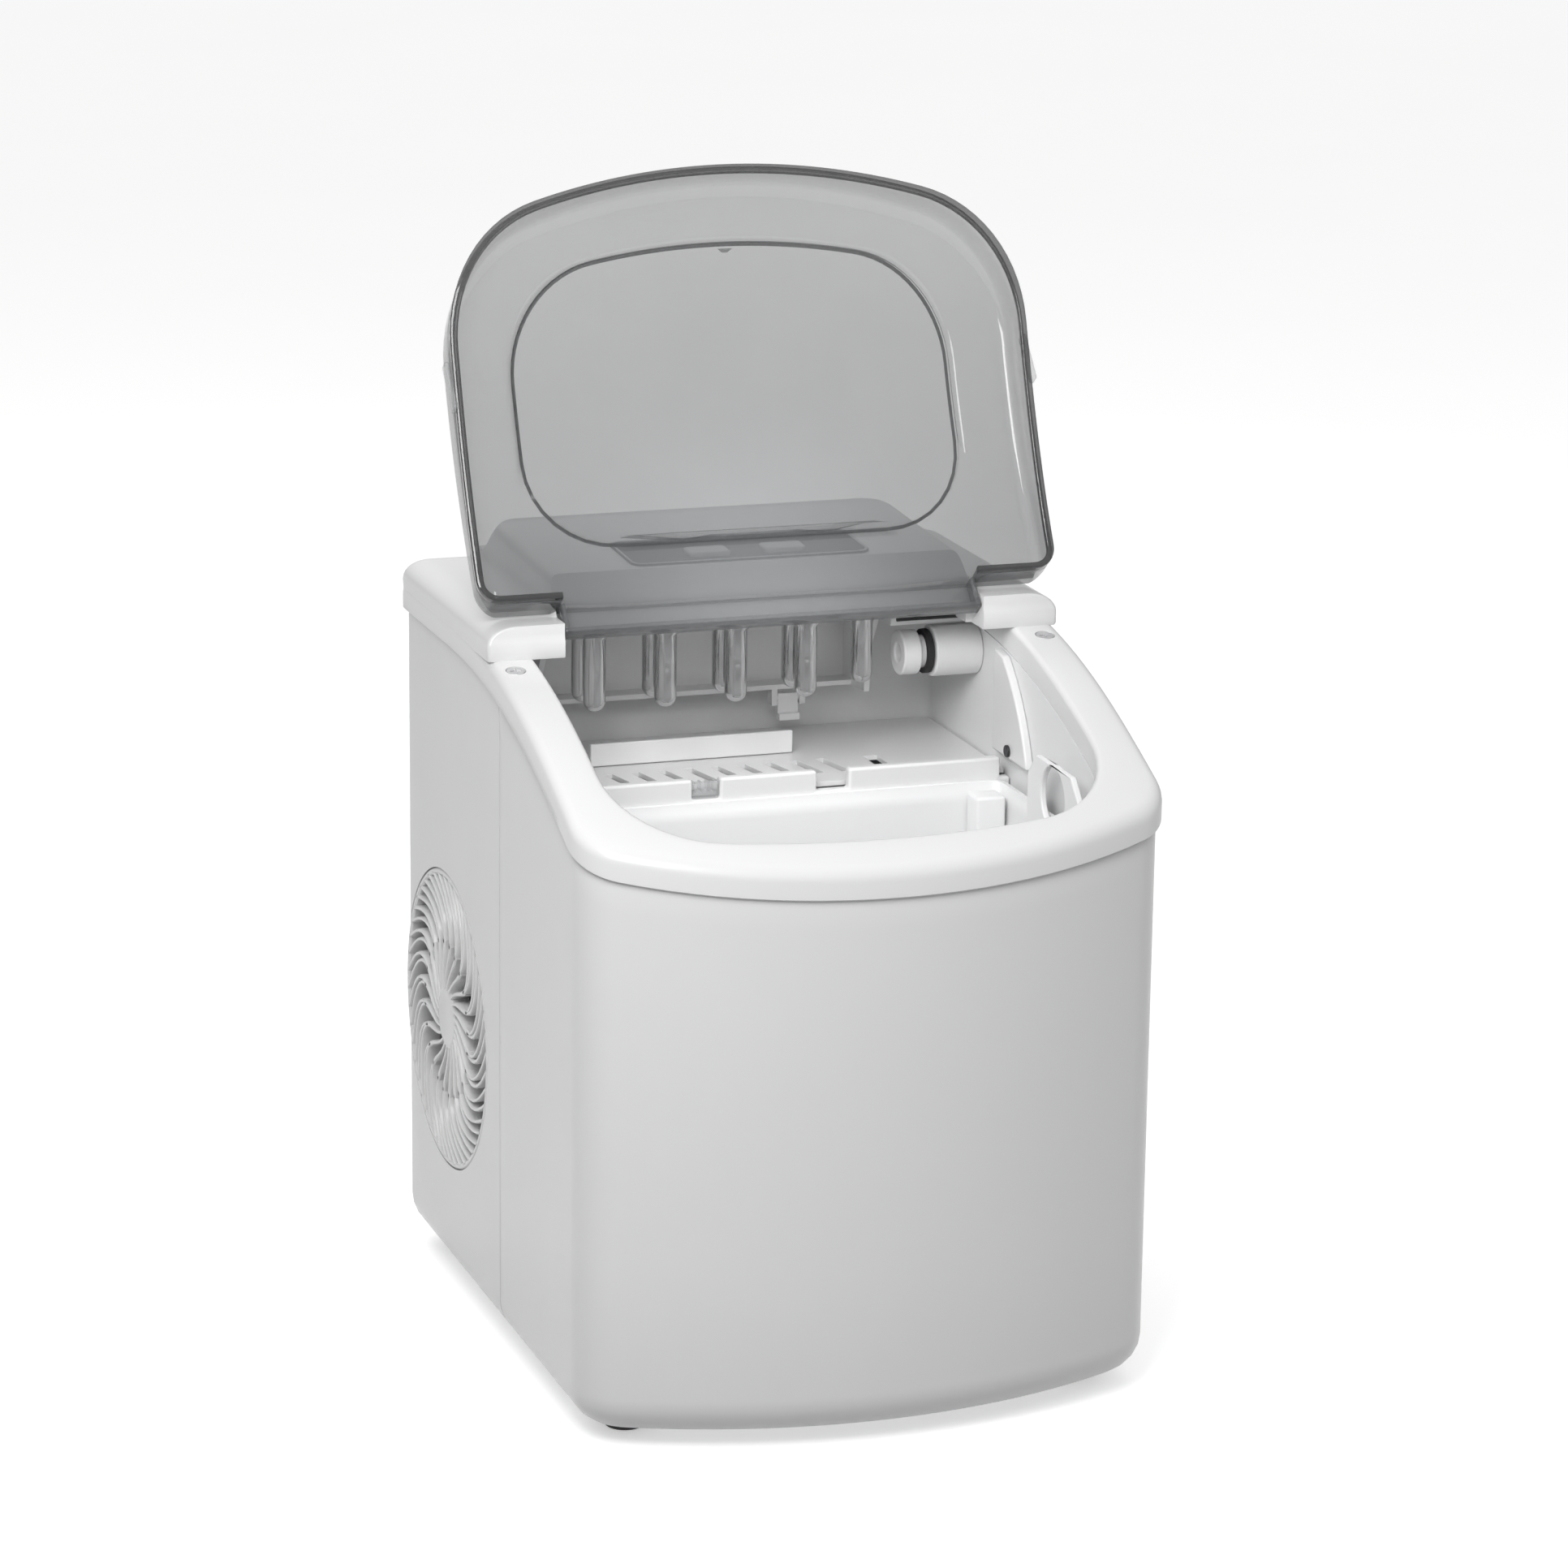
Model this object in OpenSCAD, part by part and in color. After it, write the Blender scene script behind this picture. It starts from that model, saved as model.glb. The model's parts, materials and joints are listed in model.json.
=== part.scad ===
// Countertop ice maker with a tilting water tray, finger evaporator, lift-out basket and clear lid.
// Millimetres. Origin on the table under the middle of the body, +Z up, front towards -Y.
// The lid stands open and the water tray is tipped back, as after a batch of ice has dropped.

/* [Body] */
// Width over the top frame
body_w = 246; // [236:1:256]
// Depth over the top frame
body_d = 304; // [298:1:308]
// Height of the rear edge of the control cover
cover_top_z = 324.5; // [322:0.5:328]
// How far the front bows out between its corners
front_bow = 30; // [24:1:34]
// Corner radius at the front of the top frame
front_corner_r = 24; // [18:1:30]
// Radius of the rounding round the foot of the shells
foot_r = 17; // [12:1:17]
// Wall thickness of the outer shells
shell_t = 2.5; // [2:0.1:3]
// Height of the rubber feet
foot_h = 6; // [5:0.5:8]

/* [Sloping top] */
// Height of the parting line at the front of the body
parting_front_z = 227; // [222:0.5:230]
// Height of the parting line where it is level
parting_z = 285; // [284:0.5:287]
// Thickness of the top frame
frame_t = 12; // [11:0.5:13]

/* [Ice opening] */
// Half width of the opening in the top frame
open_hw = 103; // [101:0.5:104]
// Y of the front edge of the opening
open_front_y = -131; // [-132:1:-129]

/* [Lid] */
// Opening angle of the lid
lid_open_deg = 131; // [120:0.5:131.5]
// Y of the lid's hinge axis
hinge_y = 12; // [11.5:0.1:12.5]
// Z of the lid's hinge axis
hinge_z = 302.5; // [302:0.1:303]
// Wall thickness of the clear lid
lid_t = 2.2; // [1.8:0.1:2.4]
// How far the closed lid stands out in front of the body
lid_overhang = 12; // [6:0.5:13]
// Height of the closed lid's front edge
lid_front_z = 249; // [246:0.5:252]
// Radius of the lid's hinge pins
lid_pin_r = 2; // [1.8:0.1:2.2]

/* [Ice making] */
// Distance between fingers in a row
finger_pitch = 30.5; // [29:0.5:31]
// Radius of a freezing finger
finger_r = 4.65; // [4:0.05:4.8]
// Lowest point of the fingers
finger_z = 263.5; // [263:0.5:266]
// Y of the front row of fingers
row_front_y = 26; // [25.5:0.5:26.5]
// Y of the back row of fingers
row_back_y = 43; // [42.5:0.5:43.5]
// Angle between the tipped tray and the filling position
tray_tip_deg = 88; // [80:1:90]
// Y of the tray's axis
tray_y = 58; // [57.5:0.5:58.5]
// Z of the tray's axis
tray_z = 294; // [293.5:0.5:294.5]

/* [Basket] */
// Half width of the ice basket
basket_hw = 97; // [94:0.5:97]
// Height of the basket's rim
basket_rim_z = 228; // [220:1:230]

/* [Cooling] */
// Radius of the round side vent
vent_r = 64; // [58:1:66]
// Y of the vent's centre
vent_y = 79; // [76:1:80]
// Z of the vent's centre
vent_z = 120; // [116:1:124]
// Number of ribs in the vent
vent_ribs = 24; // [16:1:30]

/* [Hidden] */

$fn = 64;
eps = 0.01;
half_w = body_w / 2;
front_y = -body_d / 2;
rear_y = body_d / 2 - 3;
parting_pts = concat([[-200, parting_front_z - 14.5]],
    bezier([front_y, parting_front_z], [-97, 244], [-42, parting_z - 1], [63, parting_z], 20),
    [[200, parting_z]]);
lid_pts = concat([[-190, lid_front_z - 18]],
    bezier([front_y - lid_overhang, lid_front_z], [-112, 282], [-60, 303], [3, 306.3], 20),
    [[40, 306.4]]);
shell_inset = 2;
seam_y = -4;
seam_gap = 0.3;
rear_corner_r = 12;
shell_hw = half_w - shell_inset;
inner_hw = shell_hw - shell_t;
wall_t = 2.5;
well_floor_z = 26;
shelf_z = 216;
shelf_y = 8;
tub_rear_y = 104;
grate_z = 229;
shoulder_y = 5.5;
shoulder_z = 306;
gap_hw = 90.5;
lip_y = 17.8;
lip_z = 300;
lip_top_z = 301.5;
plateau_front_y = 34;
plateau_hw = 90;
plateau_front_z = 320.3;
plateau_rear_y = 122;
cover_t = 2.4;
lip_slope = (plateau_front_z - lip_top_z) / (plateau_front_y - lip_y);
plateau_tilt = atan((cover_top_z - plateau_front_z) / (plateau_rear_y - plateau_front_y));
lid_hw = half_w + 1.4;
lid_rear_y = 3;
tongue_hw = gap_hw - 0.8;
tongue_rear_y = 15.4;
first_finger_x = -72;
panel_w = 104;
panel_d = 38;
panel_y = 56;
button_w = 18;
button_d = 11;
button_x = 16.5;
button_y = 49;
button_gap = 0.3;
arm_pin_y = 13.5;
arm_pin_z = 266;
arm_pin_r = 1.5;
white = [0.93, 0.93, 0.93];
shade = [0.86, 0.87, 0.87];
smoke = [0.25, 0.26, 0.27, 0.45];
dark = [0.16, 0.16, 0.17];
steel = [0.75, 0.76, 0.78];
copper = [0.72, 0.45, 0.3];

// A ring of points on an arc, from angle a to angle b
function arc(cx, cy, r, a, b, n) =
    [for (i = [0:n]) [cx + r * cos(a + (b - a) * i / n), cy + r * sin(a + (b - a) * i / n)]];

// Points of a cubic curve from a to d, pulled towards b and c
function bezier(a, b, c, d, n) = [for (i = [0:n]) let (t = i / n, u = 1 - t)
    u * u * u * a + 3 * t * u * u * b + 3 * t * t * u * c + t * t * t * d];

// A profile moved outwards by k, square to itself
function moved(p, k) = [for (i = [0:len(p) - 1])
    let (q = p[min(i + 1, len(p) - 1)] - p[max(i - 1, 0)]) p[i] + k * [-q[1], q[0]] / norm(q)];

// Radius of an arc with half chord w and rise b
function bow_r(w, b) = (w * w + b * b) / (2 * b);

// Y of the centre of a front corner
function corner_y(w, yf, r, b) =
    yf + bow_r(w, b) - sqrt(pow(bow_r(w, b) - r, 2) - pow(w - r, 2));

// D-shaped plan: bowed front, rounded front corners, straight sides and rounded rear corners
function plan(w, yf, yr, r, b, rr) =
    let (bf = bow_r(w, b), cyf = yf + bf, cy = corner_y(w, yf, r, b))
    let (a = atan2(cy - cyf, w - r))
    concat(
        arc(w - rr, yr - rr, rr, 0, 90, 6),
        arc(-w + rr, yr - rr, rr, 90, 180, 6),
        arc(-w + r, cy, r, 180, 180 - a, 8),
        arc(0, cyf, bf, 180 - a + 1, 360 + a - 1, 16),
        arc(w - r, cy, r, 360 + a, 360, 8)
    );

// Plan of the top frame's outside, drawn in by k
module outer_plan(k) {
    polygon(plan(half_w - k, front_y + k, rear_y - k, front_corner_r - k / 2,
        front_bow * (half_w - k) / half_w, rear_corner_r));
}

// Plan of the ice opening, widened by k, back to y = yr
module opening_plan(k, yr) {
    polygon(plan(open_hw + k, open_front_y - k, yr, 45 + k, 12, 6));
}

// The solid below a side profile p that is moved outwards by k
module below(p, k) {
    translate([-half_w - 20, 0, 0]) rotate([90, 0, 90]) linear_extrude(body_w + 40)
        polygon(concat([[200, 0], [-200, 0]], moved(p, k)));
}

// The solid below the parting line between shells and top frame, moved up by k
module slope_body(k) {
    below(parting_pts, k);
}

// Box between two corners
module span(a, b) {
    translate(a) cube(b - a);
}

// Cylinder along X from x1 to x2
module rod_x(x1, x2, y, z, r) {
    translate([x1, y, z]) rotate([0, 90, 0]) cylinder(r = r, h = x2 - x1);
}

// Cylinder along Y from y1 to y2
module rod_y(y1, y2, x, z, r) {
    translate([x, y1, z]) rotate([-90, 0, 0]) cylinder(r = r, h = y2 - y1);
}

// Rounded rectangle, centred
module round_rect(w, d, r) {
    union() {
        square([w - 2 * r, d], center = true);
        square([w, d - 2 * r], center = true);
        for (sx = [-1, 1]) for (sy = [-1, 1])
            translate([sx * (w / 2 - r), sy * (d / 2 - r)]) circle(r = r);
    }
}

// Places children on the sloping top surface of the control cover, at distance y along it
module on_plateau(y) {
    translate([0, plateau_front_y, plateau_front_z])
        rotate([plateau_tilt, 0, 0])
            translate([0, y - plateau_front_y, 0]) children();
}

// Places children on the curved top of the frame at x, y, facing outwards
module on_frame(x, y) {
    a = atan((lookup(y + 2, parting_pts) - lookup(y - 2, parting_pts)) / 4);
    translate([x, y, lookup(y, parting_pts) + frame_t / cos(a)])
        rotate([a, 0, 0]) children();
}

// Turns children about the lid's hinge axis
module lid_turn(a) {
    translate([0, hinge_y, hinge_z]) rotate([a, 0, 0]) translate([0, -hinge_y, -hinge_z])
        children();
}

// Turns children about the tray's axis
module tray_turn(a) {
    translate([0, tray_y, tray_z]) rotate([a, 0, 0]) translate([0, -tray_y, -tray_z])
        children();
}

// ---- Housing ----

module base_pan() {
    color(shade) difference() {
        translate([0, 0, foot_h])
            linear_extrude(3) outer_plan(shell_inset + foot_r + 0.8);
        for (x = [-30:12:30])
            span([x - 2, -90, foot_h - 1], [x + 2, -50, foot_h + 4]);
    }
}

module rubber_feet() {
    color(dark) for (x = [-95, 95]) for (y = [-95, 125])
        translate([x, y, 0]) {
            cylinder(r1 = 8, r2 = 9, h = 2);
            translate([0, 0, 2]) cylinder(r = 9, h = foot_h - 2);
        }
}

// The thin wall shared by both shells, with a thick rounded foot
module shell_wall() {
    tops = [0.06, 0.15, 0.27, 0.44, 0.68, 0.86];
    z_top = foot_h + 0.86 * foot_r;
    intersection() {
        union() {
            difference() {
                translate([0, 0, z_top - 0.5]) linear_extrude(320) outer_plan(shell_inset);
                linear_extrude(400) outer_plan(shell_inset + shell_t);
            }
            difference() {
                for (i = [0:5])
                    let (low = i == 0 ? 0 : tops[i - 1], mid = 1 - (low + tops[i]) / 2)
                        translate([0, 0, foot_h + low * foot_r])
                            linear_extrude((0.86 - low) * foot_r)
                                outer_plan(shell_inset + foot_r * (1 - sqrt(1 - mid * mid)));
                linear_extrude(400) outer_plan(shell_inset + foot_r + 0.5);
            }
        }
        slope_body(-0.2);
    }
}

module front_shell() {
    color(white) intersection() {
        shell_wall();
        span([-200, -200, 0], [200, seam_y, 400]);
    }
}

module rear_shell() {
    color(white) difference() {
        intersection() {
            shell_wall();
            span([-200, seam_y + seam_gap, 0], [200, 200, 400]);
        }
        rod_x(-half_w - 5, -inner_hw + 5, vent_y, vent_z, vent_r + 0.3);
        for (i = [0:9])
            span([-60 + i * 9, rear_y - 20, 190], [-56 + i * 9, rear_y + 5, 240]);
        for (i = [0:8])
            span([inner_hw - 5, 50 + i * 8, 60], [half_w + 5, 53.5 + i * 8, 150]);
        rod_y(rear_y - 20, rear_y + 5, 70, 40, 7.2);
        rod_y(rear_y - 20, rear_y + 5, -75, 36, 9.2);
    }
}

module vent_grille() {
    outer_x = -shell_hw;
    color(white) {
        difference() {
            rod_x(outer_x, outer_x + 3.4, vent_y, vent_z, vent_r);
            rod_x(outer_x - 1, outer_x + 5, vent_y, vent_z, vent_r - 2.5);
        }
        rod_x(outer_x, outer_x + 3.4, vent_y, vent_z, 15);
        for (i = [0:vent_ribs - 1])
            translate([outer_x + 0.3, vent_y, vent_z]) rotate([i * 360 / vent_ribs, 0, 0])
                translate([0, -0.8, 12]) cube([2.8, 1.6, vent_r - 13.2]);
    }
}

module top_frame() {
    color(white) difference() {
        intersection() {
            difference() {
                translate([0, 0, 150]) linear_extrude(200) outer_plan(0);
                translate([0, 0, 149]) linear_extrude(202) opening_plan(0, 140);
            }
            slope_body(frame_t);
        }
        slope_body(0);
        for (x = [-114, 114])
            on_frame(x, -4) translate([0, 0, -1.6]) cylinder(r = 4.6, h = 5);
    }
}

module frame_screws() {
    color(steel) for (x = [-114, 114])
        on_frame(x, -4) translate([0, 0, -1.6]) difference() {
            cylinder(r = 3.8, h = 1.3);
            translate([0, 0, 0.6]) span([-2.4, -0.4, 0], [2.4, 0.4, 2]);
            translate([0, 0, 0.6]) span([-0.4, -2.4, 0], [0.4, 2.4, 2]);
        }
}

// ---- Control cover and panel ----

// Half section of the cover's low side shoulders, drawn in by k
module shoulder_section(k) {
    hw = half_w - k;
    top = shoulder_z - k;
    r = 13;
    union() {
        translate([-hw + r, 250]) square([2 * (hw - r), top - 250]);
        translate([-hw, 250]) square([2 * hw, top - r - 250]);
        for (s = [-1, 1]) translate([s * (hw - r), top - r]) circle(r = r);
    }
}

// Front of the raised part's side profile; the outside is cut to its slant by the caller
function front_points(k) = k == 0
    ? [[lip_y, 280], [lip_y, plateau_front_z - (plateau_front_y - lip_y) * tan(plateau_tilt)]]
    : [[lip_y + k, 280], [lip_y + k, lip_top_z - k * 0.6],
        [plateau_front_y + k * 0.7, plateau_front_z - k]];

// The cover's outside, drawn in by k; the flat underside is left to the caller
module cover_body(k) {
    yf = shoulder_y + k;
    union() {
        intersection() {
            translate([0, 400, 0]) rotate([90, 0, 0]) linear_extrude(400 - yf)
                shoulder_section(k);
            translate([0, 0, 200]) linear_extrude(200) outer_plan(k);
        }
        translate([-plateau_hw + k, 0, 0]) rotate([90, 0, 90])
            linear_extrude(2 * (plateau_hw - k)) polygon(concat(front_points(k), [
                [plateau_rear_y - k, cover_top_z - k], [plateau_rear_y + 18 - k, shoulder_z - k],
                [plateau_rear_y + 18 - k, 280]
            ]));
    }
}

module control_cover() {
    color(white) difference() {
        union() {
            difference() {
                cover_body(0);
                difference() {
                    cover_body(cover_t);
                    for (s = [-1, 1])
                        span([s * (gap_hw + 2.9) - 2.9, 0, 270], [s * (gap_hw + 2.9) + 2.9, 21, 400]);
                }
                translate([-gap_hw, 0, 0]) rotate([90, 0, 90]) linear_extrude(2 * gap_hw)
                    polygon([[0, 250], [lip_y, 250], [lip_y, lip_top_z],
                        [lip_y + 50, lip_top_z + 50 * lip_slope], [0, 400]]);
                for (s = [-1, 1])
                    rod_x(min(s * 80, s * 95.2), max(s * 80, s * 95.2), hinge_y, hinge_z,
                        lid_pin_r + 0.05);
            }
        }
        slope_body(frame_t + 0.1);
        span([-gap_hw + 0.01, lip_y - 1, 250], [gap_hw - 0.01, lip_y + cover_t, lip_z]);
        for (s = [-1, 1]) on_plateau(button_y) translate([s * button_x, 0, -6])
            linear_extrude(10) round_rect(button_w + 2 * button_gap, button_d + 2 * button_gap, 2.3);
    }
}

module control_overlay() {
    color([0.35, 0.36, 0.38]) on_plateau(panel_y) difference() {
        linear_extrude(0.8) round_rect(panel_w, panel_d, 5);
        for (s = [-1, 1]) translate([s * button_x, button_y - panel_y, -1])
            linear_extrude(3) round_rect(button_w + 2 * button_gap, button_d + 2 * button_gap, 2.3);
        for (i = [-2:2]) translate([i * 22.3, 12, -1]) cylinder(r = 2.7, h = 3);
    }
}

module indicator_lenses() {
    color([0.7, 0.7, 0.72]) on_plateau(panel_y)
        for (i = [-2:2]) translate([i * 22.3, 12, 0]) cylinder(r = 2.6, h = 1.1);
}

module button_at(s) {
    on_plateau(button_y) translate([s * button_x, 0, -5])
        linear_extrude(7.6) round_rect(button_w, button_d, 2);
}

module power_button() {
    color([0.8, 0.8, 0.82]) button_at(-1);
}

module select_button() {
    color([0.8, 0.8, 0.82]) button_at(1);
}

module circuit_board() {
    color([0.1, 0.35, 0.2]) on_plateau(panel_y) translate([0, 0, -8.5]) {
        linear_extrude(1.6) round_rect(96, 34, 2);
    }
}

// ---- Inside the ice chamber ----

module inner_tub() {
    color(white) intersection() {
        difference() {
            union() {
                intersection() {
                    translate([0, 0, well_floor_z - wall_t]) linear_extrude(300)
                        opening_plan(wall_t, tub_rear_y + wall_t);
                    span([-200, -200, 0], [200, shelf_y + wall_t, 400]);
                }
                translate([0, 0, shelf_z - wall_t]) linear_extrude(150)
                    opening_plan(wall_t, tub_rear_y + wall_t);
            }
            difference() {
                intersection() {
                    translate([0, 0, well_floor_z]) linear_extrude(300)
                        opening_plan(0, tub_rear_y);
                    span([-200, -200, 0], [200, shelf_y, 400]);
                }
                for (x = [-60, 60]) span([x - 3, -120, 0], [x + 3, 0, 46]);
            }
            translate([0, 0, shelf_z]) linear_extrude(150) opening_plan(0, tub_rear_y);
            rod_x(90, 120, 48, 274, 7.1);
            rod_y(0, 20, -40, 34, 5);
        }
        slope_body(-0.2);
    }
}

// Low wall with three raised tabs between the grate and the basket
module ice_guide() {
    color(white) {
        span([-102.5, 2.5, 217], [102.5, 7.6, 229]);
        span([-78, 2.5, 229], [-37, 7.6, 237.5]);
        span([-25, 2.5, 229], [17, 7.6, 237.5]);
        span([31, 2.5, 229], [98, 7.6, 237.5]);
    }
}

module clear_guide() {
    color(smoke) {
        span([-36.5, 3.5, 229], [-25.5, 6, 236]);
        for (x = [-35, -32, -29, -26.8]) span([x, 6, 231.3], [x + 1, 12, 235]);
    }
}

module drip_grate() {
    slots = 9;
    color(white) difference() {
        union() {
            span([-102, 9, grate_z], [102, 101, grate_z + 2]);
            for (x = [-95, 95]) for (y = [16, 94])
                translate([x, y, shelf_z]) cylinder(r = 4, h = grate_z - shelf_z);
        }
        for (i = [0:slots - 1])
            translate([-58 + i * 11.6, 34, grate_z - 1]) rotate([0, 0, 12])
                span([-2, -11, 0], [2, 11, 4]);
        span([52, 20, grate_z - 1], [58, 44, grate_z + 4]);
    }
}

module chamber_roof() {
    color(shade) difference() {
        span([-86, 31, 309.2], [86, 116, 311.2]);
        rod_x(-90, 90, 200, 300, 2);
    }
}

module evaporator_block() {
    color(steel) union() {
        span([-82, 21, 297], [57, 50, 301]);
        span([-78, 29, 301], [53, 46, 309]);
    }
}

module freezing_fingers() {
    color(steel) for (row = [0, 1]) for (i = [0:3 + row])
        translate([first_finger_x + i * finger_pitch, row == 0 ? row_front_y : row_back_y, 0]) {
            translate([0, 0, finger_z + finger_r]) sphere(r = finger_r);
            translate([0, 0, finger_z + finger_r])
                cylinder(r = finger_r, h = 297 - finger_z - finger_r);
        }
}

module refrigerant_line() {
    r = 2.6;
    color(copper) {
        rod_y(50, 112, 30, 301, r);
        translate([30, 112, 301]) sphere(r = r);
        translate([30, 112, 190]) cylinder(r = r, h = 111);
        translate([30, 112, 190]) sphere(r = r);
        rod_y(70, 112, 30, 190, r);
        translate([30, 70, 190]) sphere(r = r);
        translate([30, 70, 149]) cylinder(r = r, h = 41);
    }
}

// ---- Machine compartment ----

module compressor() {
    color(dark) translate([45, 72, 0]) {
        rotate_extrude() polygon(concat(
            [[0, 18]], arc(34, 26, 8, -90, 0, 6), arc(34, 132, 8, 0, 60, 5), [[24, 146], [0, 149]]));
        for (a = [30, 150, 270]) rotate([0, 0, a]) span([20, -8, 14], [50, 8, 18]);
        for (a = [30, 150, 270]) rotate([0, 0, a]) translate([44, 0, 9]) cylinder(r = 6, h = 5);
    }
}

module condenser() {
    color(steel) {
        for (i = [0:13]) span([-72, 24 + i * 8, 62], [-50, 25 + i * 8, 178]);
        for (z = [75:18:165]) rod_y(20, 134, -61, z, 3);
    }
}

module fan_shroud() {
    color(dark) difference() {
        union() {
            rod_x(-104, -78, vent_y, vent_z, 59);
            span([-82, vent_y - 59, vent_z - 59], [-78, vent_y + 59, vent_z + 59]);
        }
        difference() {
            rod_x(-110, -70, vent_y, vent_z, 56.5);
            for (a = [0, 120, 240])
                translate([0, vent_y, vent_z]) rotate([a, 0, 0])
                    span([-80.5, -4, 0], [-78, 4, 60]);
            rod_x(-80.5, -78, vent_y, vent_z, 17);
        }
        rod_x(-110, -70, vent_y, vent_z, 2.3);
    }
}

module fan_motor() {
    color(shade) {
        rod_x(-78, -73, vent_y, vent_z, 15);
    }
}

module fan_rotor() {
    color(dark) {
        rod_x(-101, -83, vent_y, vent_z, 17);
        rod_x(-83, -78.2, vent_y, vent_z, 2.25);
        for (i = [0:6])
            translate([-92, vent_y, vent_z]) rotate([i * 360 / 7, 0, 0])
                translate([0, 0, 15]) rotate([0, 0, 32]) span([-1, -15, 0], [1, 15, 38]);
    }
}

module water_pump() {
    color(shade) {
        span([-44, 24, foot_h + 3], [-6, 54, 50]);
        rod_y(10.5, 24, -40, 34, 4.8);
    }
}

module water_hose() {
    r = 4;
    color([0.85, 0.87, 0.88]) {
        rod_x(-6, 112, 18, 30, r);
        rod_y(18, 30, -6, 30, 0.1);
        translate([112, 18, 30]) sphere(r = r);
        rod_y(18, 48, 112, 30, r);
        translate([112, 48, 30]) sphere(r = r);
        translate([112, 48, 30]) cylinder(r = r, h = 244);
        translate([112, 48, 274]) sphere(r = r);
        rod_x(106, 112, 48, 274, r);
    }
}

module water_spout() {
    color(white) difference() {
        union() {
            rod_x(68, 106, 48, 274, 7);
            rod_x(68, 76, 48, 274, 9.5);
            rod_x(82, 102.9, 48, 274, 11);
        }
        rod_x(60, 104, 48, 274, 4);
    }
}

module spout_seal() {
    color(dark) difference() {
        rod_x(78.5, 81.5, 48, 274, 9.5);
        rod_x(78, 82, 48, 274, 7);
    }
}

// ---- Tray, arm and shovel ----

// Water tray in its filling position; its low front wall swings clear of the fingers
module tray_filling() {
    difference() {
        union() {
            difference() {
                span([-84.5, 17.5, 255.5], [62.5, 51.5, 284]);
                span([-82, 10, 268.3], [60, 40, 290]);
            }
            for (x = [-84.5, 60]) {
                translate([x, 0, 0]) rotate([90, 0, 90]) linear_extrude(2.5)
                    polygon([[34, 284], [51.5, 262], [62, 289], [62, 298], [54, 298]]);
            }
            for (x = [24, 36.5])
                span([x, arm_pin_y - 3, arm_pin_z - 4], [x + 2.5, 17.6, arm_pin_z + 2.3]);
        }
        span([-82, 19.6, 257.6], [60, 49.4, 290]);
        rod_x(-90, -80, tray_y, tray_z, 3.5);
        rod_x(58, 64, tray_y, tray_z, 3.5);
        rod_x(20, 45, arm_pin_y, arm_pin_z, arm_pin_r + 0.05);
    }
}

module water_tray() {
    color(white) tray_turn(tray_tip_deg) tray_filling();
}

module tray_shaft() {
    color(steel) {
        rod_x(-92, -82, tray_y, tray_z, 3.5);
        rod_x(60, 72, tray_y, tray_z, 3.5);
    }
}

module push_arm() {
    dy = arm_pin_y - tray_y;
    dz = arm_pin_z - tray_z;
    y = tray_y + dy * cos(tray_tip_deg) - dz * sin(tray_tip_deg);
    z = tray_z + dy * sin(tray_tip_deg) + dz * cos(tray_tip_deg);
    color(white) {
        rod_x(24.2, 38.8, y, z, arm_pin_r);
        span([27, y - 1.5, z - 9.2], [36, y + 1.5, z + 2]);
        span([27, y - 4, z - 9.2], [36, y + 1.5, z - 6.4]);
    }
}

module tray_bracket() {
    color(shade) difference() {
        span([-102.4, 50, 282], [-85.5, 66, 300]);
        rod_x(-93, -80, tray_y, tray_z, 3.55);
    }
}

module tray_motor() {
    color(shade) difference() {
        span([64, 46, 286], [102.4, 70, 303]);
        rod_x(60, 73, tray_y, tray_z, 3.55);
    }
}

module ice_shovel() {
    color(white) {
        span([-64, 57, grate_z + 2.3], [25, 59.4, 241]);
        span([-64, 59.4, grate_z + 2.3], [25, 66, grate_z + 5]);
        span([-50, 66, grate_z + 2.3], [-44, 90, grate_z + 4.5]);
        span([5, 66, grate_z + 2.3], [11, 90, grate_z + 4.5]);
    }
}

// ---- Sensors ----

module sensor_cover(s) {
    x1 = min(s * 99.2, s * 102.9);
    x2 = max(s * 99.2, s * 102.9);
    color(white) intersection() {
        difference() {
            span([x1, -32, 238], [x2, 16, 300]);
            translate([0, 60, 210]) rotate([0, 90, 0])
                translate([0, 0, -150]) difference() {
                    cylinder(r = 200, h = 300);
                    cylinder(r = 88, h = 300);
                }
        }
        slope_body(-0.4);
    }
}

module sensor_cover_left() {
    sensor_cover(-1);
}

module sensor_cover_right() {
    sensor_cover(1);
}

module sensor_lenses() {
    color(dark) for (s = [-1, 1])
        rod_x(min(s * 97.9, s * 99.2), max(s * 97.9, s * 99.2), -3, 241.5, 2.6);
}

module sensor_wire() {
    color(dark) rod_x(62, 92, 33, 292, 0.9);
}

// ---- Basket ----

module basket_plan(k) {
    polygon(plan(basket_hw - k, -125 + k, 1.2 - k, 40 - k, 11, 4));
}

// Plate of one finger loop at the basket's side
module loop_plate(s) {
    translate([s * (basket_hw - 1.5) - 1.5, -69, 0]) rotate([90, 0, 90]) linear_extrude(3)
        polygon([[-28, 200], [28, 200], [28, 243], [19, 252], [-19, 252], [-28, 243]]);
}

module ice_basket() {
    color(white) difference() {
        union() {
            translate([0, 0, 46]) linear_extrude(basket_rim_z - 46) basket_plan(0);
            for (s = [-1, 1]) loop_plate(s);
        }
        difference() {
            translate([0, 0, 48]) linear_extrude(300) basket_plan(2);
            for (s = [-1, 1]) loop_plate(s);
        }
        rod_x(-110, 110, -69, 238, 13);
        for (x = [-60:15:60]) for (y = [-95:15:-20])
            translate([x, y, 40]) cylinder(r = 2.5, h = 12);
    }
}

// ---- Lid ----

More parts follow.
